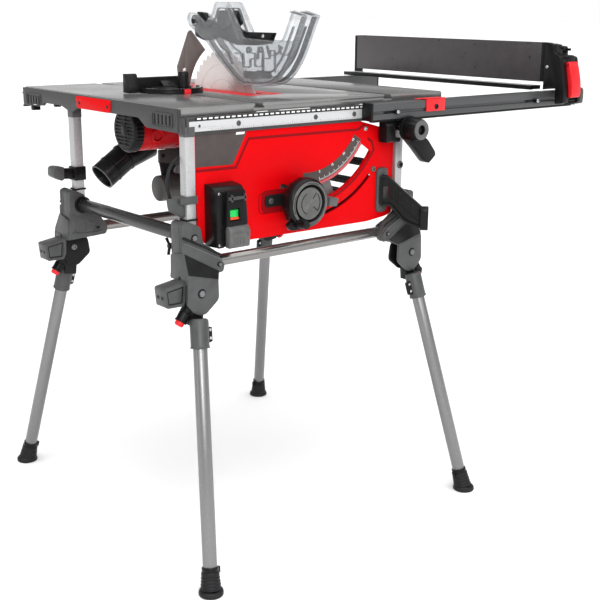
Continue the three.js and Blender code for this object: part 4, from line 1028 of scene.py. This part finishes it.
    # the folding leg
    top = Vector((sx * PIVOT_X, sy * 259.9, PIVOT_Z))
    run = Vector((sx * 61, sy * 111, -450)).normalized()
    on = lambda d: top + run * d
    across = (Vector((-sx, 0, 0)) - run * run.dot(Vector((-sx, 0, 0)))).normalized()
    third = run.cross(across)
    leg = "leg_" + key
    slim = Vector((run.x, 0, run.z)).normalized()
    s = Shape()
    s.rod((sx * PIVOT_X, Y(246.7), PIVOT_Z), (sx * PIVOT_X, Y(266.3), PIVOT_Z), 17.8, n=40)
    side = Vector((-slim.z, 0, slim.x))
    hub = Vector((sx * PIVOT_X, 0, PIVOT_Z))
    pts = [hub + side * 14, hub + slim * 64 + side * 15.4, hub + slim * 64 - side * 15.4, hub - side * 14]
    s.prism("y", [(p.x, p.z) for p in pts], Y(247), Y(266))
    push = Vector((sx * 0.6, 0, -0.8))
    pside = Vector((0.8, 0, sx * 0.6))
    pts = [hub + pside * 9, hub + push * 49 + pside * 9, hub + push * 49 - pside * 9, hub - pside * 9]
    s.prism("y", [(p.x, p.z) for p in pts], Y(247.6), Y(265.4))
    s.done("leg_hub_" + key, "black", leg, 1.4, replaces=[f"leg_{key}_head"], slot="dark_plastic")
    s = Shape()
    s.turn(on(50), run, [(14.7, 58), (19.2, 58), (19.4, 55), (18.4, 53.6), (18.8, 6), (17, 1.5), (13, 0),
            (14.7, 24)], 48, closed=True)
    s.turn(on(50), run, [(15, 2), (15, 20), (0.01, 20), (0.01, 2)], 24)
    s.done("leg_sleeve_" + key, "bracket", leg, 0.5, slot="dark_plastic")
    s = Shape()
    s.loft([[on(b) + across * a + third * w for a, b in ((17, 66), (27, 68), (27, 96), (17, 99))]
            for w in (-5, 5)])
    s.done("leg_tab_" + key, "black", leg, 1.2)
    for i, b in enumerate((73, 89)):
        face = third * (4.8 if third.y > 0 else -4.8)
        screw(on(b) + across * 22 - face, (0, -1, 0), 3.2, 1.6, leg, f"leg_tab_screw_{key}_{i}", "steel")
    bp = lambda d: Vector((sx * PIVOT_X, sy * 256.5, PIVOT_Z)) + push * d
    s = Shape()
    s.turn(bp(45), push, [(9.8, 21), (12.4, 21), (12.6, 18), (11.6, 16.8), (12, 2), (10, 0), (9.8, 6)],
           40, closed=True)
    s.done("release_barrel_" + key, "black", leg, 0.4)
    s = Shape()
    s.turn(bp(60), push, [(9.2, 0), (9.2, 11.5), (8.6, 13.4), (6.6, 14.4), (0.01, 14.8)], 32)
    s.done("release_button_" + key, "red_cap", "button_" + key, 0.2, replaces=[f"leg_{key}_button"],
           slot="red_plastic")
    total = PIVOT_Z / -run.z
    ground = on(total)
    s = Shape()
    prof = [(14.8, 0), (17.4, 0), (18, 3), (18, 8), (17, 9)]
    end = total - 542 - 9
    h = 9
    while h < end - 6:
        r = 17 + 3.2 * h / end
        prof += [(r, h + 1), (r + 0.9, h + 2.2), (r + 0.9, h + 4), (r, h + 5.2)]
        h += 6.4
    prof += [(20.4, end), (14.8, end)]
    s.turn(on(542), run, prof, 48, closed=True)
    s.done("foot_boot_" + key, "rubber", leg, 0.3, replaces=[f"leg_{key}_foot"], slot="rubber_black")
    s = Shape()
    s.turn((ground.x, ground.y, 0), (0, 0, 1), [(21.6, 0), (24.3, 1.6), (24.5, 5), (23.6, 8.4), (20.6, 11),
            (0.01, 12)], 48)
    s.done("foot_pad_" + key, "rubber", leg, 0)
    s = Shape()
    s.pipe(on(533), on(543), 16.6, 14.4, 40)
    s.loft([[on(b) + across * a + third * w for a, b in ((16, 534), (22, 535), (22, 547), (16, 548))]
            for w in (-3, 3)])
    s.done("foot_collar_" + key, "black", leg, 0.5)

# plastic caps where the uprights meet the table
s = Shape()
for sx in (-1, 1):
    for y in (-221, 221):
        s.box(280 * sx - 11.6, 280 * sx + 11.6, y - 11.6, y + 11.6, 861, 880, r=2)
s.done("upright_caps", "bracket", "stand", 0.6)
# clip on the left front upright, hook on the left rear one, clamp on the side tube
s = Shape()
s.sheet(rect(-293.6, -266.4, -234.4, -207.4, 1), [rect(-291, -269, -231.8, -210.2)], "z", 733, 748)
s.prism("y", [(-306, 735, 2), (-292, 733), (-292, 748), (-306, 746, 2)], -234.2, -230)
s.done("upright_clip", "bracket", "stand", 0.5)
s = Shape()
s.prism("y", [(-291.4, 744), (-300, 746, 3), (-331, 747, 3), (-328, 724, 5), (-297, 706, 4), (-291.4, 708)],
        -226, -222.5)
s.done("clip_plate", "bracket", "stand", 0.6)
s = Shape()
s.sweep([(-276, -204, 824), (-290, -204, 820), (-303, -204, 811), (-311, -204, 798), (-315.5, -204, 780),
        (-316.5, -205, 762), (-313, -206, 746), (-304, -208, 726), (-293, -212, 712), (-286, -214, 704)],
        3.6, 14)
s.done("clip_lead", "rubber", "stand", 0)
s = Shape()
s.prism("y", [(-322, 728, 3), (-291, 726, 2), (-291, 748, 2), (-322, 751, 3)], 212, 230)
s.sheet(rect(-294, -266, 207, 235, 1), [rect(-291, -269, 210, 232)], "z", 722, 752)
s.rod((-282, 207.4, 737), (-282, 203.6, 737), 4.5, n=20)
s.done("side_hook", "black", "stand", 0.9)
s = Shape()
s.prism("y", [(-346.5, 737, 2), (-345.5, 754, 3), (-338, 757.5, 3), (-319, 755, 3), (-319, 727, 4),
        (-326, 724.5, 3), (-343, 733, 3)], 207, 235)
s.done("side_hook_end", "bracket", "stand", 2.0)
s = Shape()
s.pipe((-280, -196, 667), (-280, -180, 667), 17.6, 14.1, 40)
s.box(-288, -272, -194, -182, 640, 652.4, r=2, axis="y")
s.rod((-300, -188, 646), (-262, -188, 646), 3.2, n=16)
s.done("tube_clamp", "black", "stand", 0.6)
s = Shape()
s.rod((-301, -188, 646), (-307, -188, 646), 6.4, 5, n=24)
for k in (-1, 1):
    tip = [(x, y + k * 3, 646 + k * z) for x, y, z in ((-306, -189.4, 17), (-312, -189.4, 16),
            (-312, -186.6, 16), (-306, -186.6, 17))]
    s.loft([rect(-302, -307, -190, -186, 646 + k * 3), tip])
s.done("wing_nut", "black", "stand", 0.6)
s = Shape()
s.turn((284, -231.6, 759), (0, -1, 0), [(8.6, 0), (8.6, 1.6), (7.4, 3), (5.4, 3.2), (5, 2), (0.01, 2)], 36)
s.done("upright_bolt", "grey", "stand", 0)
screw((284, -233.6, 759), (0, -1, 0), 4.4, 2.6, name="upright_bolt_core", mat="black")

# ----------------------------------------------- motor, gearcase, blade housing
MOTOR_Y, MOTOR_Z = 135.0, 835.0
s = Shape()
s.prism("x", [(58, 884, 12), (72, 897, 12), (98, 897, 12), (150, 884, 26), (183, 862, 26), (183, 808, 26),
        (158, 787, 26), (112, 787, 20), (86, 812, 20), (58, 850, 14)], -60, -6, steps=6)
s.prism("x", [(62, 880, 12), (74, 893, 12), (97, 893, 12), (148, 880, 26), (179, 859, 26), (179, 811, 26),
        (156, 791, 26), (114, 791, 20), (90, 815, 20), (62, 850, 14)], -6.2, 1.6, steps=6)
for y, z in ((70, 886), (168, 868), (172, 802), (108, 797)):
    s.rod((-63, y, z), (-40, y, z), 7, n=24)
s.done("gearcase", "cast_red", "height", 1.6, replaces=["motor_unit"], slot="red_plastic")
s = Shape()
s.turn((-190, MOTOR_Y, MOTOR_Z), (1, 0, 0), [(46.4, 0), (47.6, 2), (47.6, 30), (46.2, 31.5), (46.2, 36),
        (47.8, 38), (47.8, 92), (46, 94), (46, 100), (48, 102), (48, 131)], 64)
hole = Vector((0, -36, -9)).normalized()
s.turn(Vector((-150, MOTOR_Y, MOTOR_Z)) + hole * 40, hole, [(16, 0), (16, 9.6), (14.4, 10.8), (11.4, 10.8),
        (11.4, 4), (0.01, 4)], 36)
s.done("motor_body", "cast_red", "height", 0.4, angle=38)
s = Shape()
s.turn(Vector((-150, MOTOR_Y, MOTOR_Z)) + hole * 43.8, hole, [(11.2, 0), (11.2, 1.4), (0.01, 1.4)], 32)
s.done("brush_cap", "rubber", "height", 0)
s = Shape()
rim = ((-185, 49.6, 1.3), (-200, 49.6, 1.3), (-204, 47.5, 0.52), (-206, 44.6, 0), (-206, 40.8, 0),
       (-203.4, 40.4, 0))
rings = []
for x, r, dip in rim:
    radii = [r - dip if k % 4 < 2 else r for k in range(144)]
    rings.append([(x, *polar(MOTOR_Y, MOTOR_Z, radius, 2.5 * k)) for k, radius in enumerate(radii)])
s.loft(rings)
s.done("cap_rim", "black", "height", 0)
s = Shape()
holes = []
for i in range(-4, 5):
    z = MOTOR_Z + i * 7.6
    half = math.sqrt(38.0 ** 2 - (i * 7.6) ** 2)
    mid = 14 if abs(i) <= 1 else 2
    for y0, y1 in ((MOTOR_Y - half, MOTOR_Y - mid), (MOTOR_Y + mid, MOTOR_Y + half)):
        holes.append(rect(y0, y1, z - 2, z + 2, 1.5))
s.sheet(circle(MOTOR_Y, MOTOR_Z, 42.4, 60), holes, "x", -206.6, -203.8, 3)
s.turn((-206.4, MOTOR_Y, MOTOR_Z), (-1, 0, 0), [(12, 0), (12, 0.8), (10.6, 1.4), (0.01, 1.4)], 40)
s.done("cap_grille", "black", "height", 0)
s = Shape()
s.turn((-203.3, MOTOR_Y, MOTOR_Z), (-1, 0, 0), [(40.2, 0), (40.2, 0.6), (0.01, 0.6)], 48)
s.done("cap_dark", "rubber", "height", 0)
s = Shape()
s.box(-12, 4, -190, 262, 853, 877, r=3, axis="y")
s.sheet(rect(-34, 18, -203, -173, 3), [circle(6, -188, 7.5), circle(-21, -188, 5.7)], "z", 848, 882)
s.sheet(rect(-12, 18, 244, 272, 3), [circle(6, 258, 7.5)], "z", 848, 882)
for y in (-150, -110, -70, -30, 10, 220):
    s.box(-13, -9.6, y, y + 4, 854, 876)
s.done("height_slide", "cast", "height", 0.8)
house = [(-52, 862), (-50, 800, 60), (0, 742, 60), (85, 736, 40), (170, 742, 60), (220, 800, 60), (222, 862)]
s = Shape()
s.sheet(house, [], "x", 37.4, 40, 7)
s.sheet(house, [], "x", 12, 14.6, 7)
line = rounded(house, 7)
s.ribbon("x", line, 2.6, 13, 39)
for y in (-20, 30, 140, 190):
    s.ribbon("x", [(y, 790), (y, 848)], 3, 40, 42.2)
s.ribbon("x", [(-40, 845), (210, 845)], 3, 40, 42.2)
s.rod((13, 95, 705), (39, 95, 705), 19, n=36)
s.prism("x", [(76, 700), (76, 740), (114, 740), (114, 700)], 14, 38)
s.done("blade_housing", "black", "height", 1.0)
s = Shape()
s.turn((-150, 95, 705), (1, 0, 0), [(25, 0), (28.4, 1.8), (29, 5), (29, 60), (28, 61), (28, 66), (29, 67),
        (29, 179)], 64)
s.done("lower_cylinder", "taupe", "height", 0)
s = Shape()
s.prism("y", [(-142, 790, 3), (-62, 790, 3), (-62, 752, 6), (-100, 752, 6), (-142, 760, 4)], 97, 104)
s.prism("x", [(78, 792), (104, 792), (104, 720), (88, 720), (78, 752)], -62, -40)
s.prism("y", [(-40, 775), (-40, 800), (-11, 800), (-11, 775)], 79, 117)
s.done("motor_bracket", "taupe", "height", 1.2)
s = Shape()
s.prism("y", [(-143, 761), (-101, 753), (-118, 730), (-133, 704, 2)], 93, 98)
s.prism("x", [(60, 726, 4), (128, 726, 4), (128, 733, 3), (60, 733, 3)], -104, -90)
s.done("bracket_gusset", "rubber", "height", 0.6)
bolt((-132, 97, 776), (0, -1, 0), 4.6, body="height", name="bracket_bolt", mat="black")
s = Shape()
s.sweep([(-58, 82, 812), (-70, 79, 802), (-82, 77, 788), (-89, 76, 772), (-92, 75, 752), (-92, 74, 730),
        (-88, 74, 708), (-78, 74, 690)], 5.2, 16)
s.done("motor_lead", "rubber", "height", 0)

# ------------------------------------------------------------------ dust elbow
mouth, bend = Vector((-163, 322, 703)), Vector((-92, 322, 751))
out = (mouth - bend).normalized()
Shape().pipe(mouth - out * 2.5, mouth + out * 0.2, 33.2, 29.4, 56).done("duct_lip", "bracket", "stand", 0.5)
s = Shape()
s.pipe(mouth - out * 34, mouth - out * 30, 34.2, 32.6, 56)
s.pipe(mouth - out * 78, mouth - out * 72, 34.6, 32.6, 56)
s.done("duct_bands", "black", "stand", 0.5)

# ------------------------------------------------------- guard, knife and spine
side = [(189, 1056, 6), (197, 1070, 10), (188, 1084, 8), (165, 1083, 6), (127, 1060, 8), (97, 1082, 6),
        (83, 1108, 4), (38, 1107, 5), (-3, 1051, 6), (-14, 1032, 8), (-150, 1028, 12), (-186, 1091, 2),
        (-226, 1082, 2), (-181, 995, 30), (-147, 957, 30), (-116, 940, 20), (-75, 933, 14), (-11, 932, 14),
        (22, 949, 20), (79, 988, 10), (118, 1020, 10)]
trace = rounded(side, 4)
GUARD_TOP = 1107.8
# each half: its two faces in x, which of them is outside, and the way inwards
for key, a, b, outside, inwards in (("left", 5.0, 19.5, 5.0, 1), ("right", 32.5, 47.0, 47.0, -1)):
    body = "guard_" + key
    depth = lambda near, far: sorted((outside + inwards * near, outside + inwards * far))
    s = Shape()
    s.sheet(trace, [circle(170, 1065, 5.6)], "x", *depth(0, 2.2))
    s.ribbon("x", trace, 2.0, *depth(2, 7.5), closed=True)
    for v in s.bm.verts:
        v.co.z = min(v.co.z, GUARD_TOP)
    s.done("guard_wall_" + key, "clear", body, 0.5, replaces=["guard_" + key], slot="clear_guard")
    # Rims and ribs in the dark-tinted clear plastic: painted dark edges where clear plastic looks dark by
    # refraction.
    s = Shape()
    rim = [(-216, 1080), (-173, 999, 30), (-143, 963, 30), (-112, 946, 14), (-74, 939.6, 12),
           (-12, 938.6, 14), (16, 952, 20), (72, 991, 10), (112, 1024, 8)]
    s.ribbon("x", rounded(rim, 4), 2.2, a + 1, b if key == "left" else b - 0.6)
    s.ribbon("x", [(-212, 1083), (-178, 1089)], 2.2, a + 1, b - 0.6)
    for rib in ([(-186, 1060), (-150, 996, 20), (-120, 968, 10), (-96, 962)],
                [(-84, 962), (-84, 1008, 6), (-66, 1008, 6), (-66, 990, 4), (-40, 990, 4), (-40, 972, 4),
                 (-14, 972, 4), (-14, 1000, 4), (14, 1000)],
                [(-150, 1018, 6), (-128, 1000, 6), (-104, 1000, 6), (-98, 1020)],
                [(26, 976), (40, 1000, 6), (66, 1010, 6), (92, 1034)],
                [(4, 1030), (22, 1056, 6), (44, 1094, 5), (76, 1095, 5), (88, 1072, 5), (112, 1052)]):
        s.ribbon("x", rounded(rib, 4), 2.0, *depth(1.8, 8))
    for y, z, r in ((60, 1068, 11), (168, 1066, 13), (-34, 1008, 7)):
        near, far = depth(1.8, 9)
        s.pipe((near, y, z), (far, y, z), r, r - 2, 32)
    s.done("guard_ribs_" + key, "clear_painted_dark_edge", body, 0.3)
    s = Shape()
    s.prism("x", [(30, 1062, 6), (44, 1090, 6), (72, 1090, 6), (82, 1066, 6), (58, 1048, 8)],
            *depth(2.3, 4.4))
    s.prism("x", [(-70, 948, 6), (-20, 948, 6), (-16, 964, 6), (-70, 964, 6)], *depth(2.3, 4.4))
    s.done("guard_pads_" + key, "smoke", body, 0.4)
    screw((outside, 170, 1065), (-inwards, 0, 0), 5.4, 2.6, body, "guard_pin_" + key, "black")
s = Shape()
for y0, y1, z0, z1 in ((241, 245.4, 941, 955), (224, 230, 944, 948.5)):
    s.prism("x", [(y0, z0, 1.5), (y1, z0, 1.5), (y1 + 1, z1, 1.5), (y0 + 1, z1, 1.5)], 24.4, 27.6)
s.done("knife_slots", "white", "height", 0)
s = Shape()
s.prism("x", [(-78, 1030, 3), (-64, 1030, 3), (-62, 1044, 3), (-76, 1045, 3)], 20.2, 31.8)
s.prism("x", [(140, 1068, 3), (176, 1076, 3), (176, 1086, 3), (150, 1084, 3)], 20.4, 31.6)
s.done("spine_blocks", "black", "height", 0.6)
screw((20.3, -71, 1038), (-1, 0, 0), 4.2, 1.8, body="height", name="spine_bolt", mat="steel")
s = Shape()
for r in (96.0, 62.0):
    s.turn((24.75, 85, 877), (-1, 0, 0), [(r, 0), (r, 0.08), (r - 0.8, 0.08), (r - 0.8, 0)], 128, closed=True)
s.done("blade_lines", "steel", "blade", 0)


# ---------------------------------------------------------- carried-over nodes
def keep(name, mat):
    """A CAD node that stays, with softened edges and a finished material."""
    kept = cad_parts[name]
    kept.modifiers.new("weld", "WELD").merge_threshold = 0.00002
    flat = kept.modifiers.new("flat", "DECIMATE")
    flat.decimate_type = "DISSOLVE"
    flat.angle_limit = math.radians(0.8)
    finish(kept, mat, 0.5, 2, 32)


FINISH = {
    "throat_plate": "red_cap", "tilt_carriage": "cast", "lift_screw": "steel",
    "blade": "blade", "riving_knife": "knife", "guard_spine": "black",
    "dust_port": "black", "lower_tube_front": "bright_tube", "lower_tube_rear": "bright_tube",
    "lower_tube_left": "dark_tube", "lower_tube_right": "dark_tube",
}
for name, mat in FINISH.items():
    keep(name, mat)
for key in CORNERS:
    keep("upright_" + key, "upright")
    keep(f"leg_{key}_tube", "tube")

# -------------------------------------------------------------- floor and light
floor = Shape().box(-60000, 60000, -60000, 60000, -30, -0.2).piece("floor", "paper", 0)

# pale studio: bright low down all round, dimmer overhead
world = bpy.data.worlds.new("studio")
bpy.context.scene.world = world
world.use_nodes = True
sky = world.node_tree
split = node(sky, "SeparateXYZ")
link(sky, node(sky, "TexCoord"), "Generated", split, "Vector")
fade = node(sky, "MapRange", From_Min=0.10, From_Max=0.36, To_Min=1.0, To_Max=0.30)
link(sky, split, "Z", fade, "Value")
grey = node(sky, "CombineColor")
for channel in ("Red", "Green", "Blue"):
    link(sky, fade, "Result", grey, channel)
link(sky, grey, "Color", sky.nodes["Background"], "Color")


def lamp(name, kind, energy, aim):
    light = bpy.data.lights.new(name, kind)
    light.energy = energy
    holder = bpy.data.objects.new(name, light)
    holder.rotation_euler = Vector(aim).to_track_quat("-Z", "Y").to_euler()
    bpy.context.scene.collection.objects.link(holder)
    return light, holder


def area(name, at, to, size, energy):
    """Rectangular lamp at a place, aimed at another."""
    light, holder = lamp(name, "AREA", energy, place(*to) - place(*at))
    light.shape = "RECTANGLE"
    light.size, light.size_y = size
    holder.location = place(*at)


area("key", (-1500, -2600, 1700), (-100, 0, 700), (1.0, 1.0), 26)
area("fill_left", (-2900, 300, 1500), (0, 0, 700), (0.8, 2.0), 8)
area("top", (300, 300, 3200), (200, 0, 800), (2.4, 2.4), 12)
soft, _ = lamp("soft_front", "SUN", 3.5, (0.10, 0.42, -0.90))
soft.angle = math.radians(100)

# -------------------------------------------------------------------- camera
lens = bpy.data.cameras.new("camera")
lens.sensor_width = 36.0
lens.lens = 62.536
lens.clip_end = 100
camera = bpy.data.objects.new("camera", lens)
bpy.context.scene.collection.objects.link(camera)
YAW, PITCH, ROLL = map(math.radians, (39.945, 15.826, 0.472))
ahead = Vector((math.sin(YAW) * math.cos(PITCH), math.cos(YAW) * math.cos(PITCH), -math.sin(PITCH)))
right = Vector((math.cos(YAW), -math.sin(YAW), 0))
up = right.cross(ahead)
across = right * math.cos(ROLL) + up * math.sin(ROLL)
above = -right * math.sin(ROLL) + up * math.cos(ROLL)
turned = Matrix((across, above, -ahead)).transposed().to_4x4()
camera.matrix_world = Matrix.Translation(place(-1387.51, -1881.44, 1103.45)) @ turned
bpy.context.scene.camera = camera
bpy.context.scene.view_settings.view_transform = "Standard"
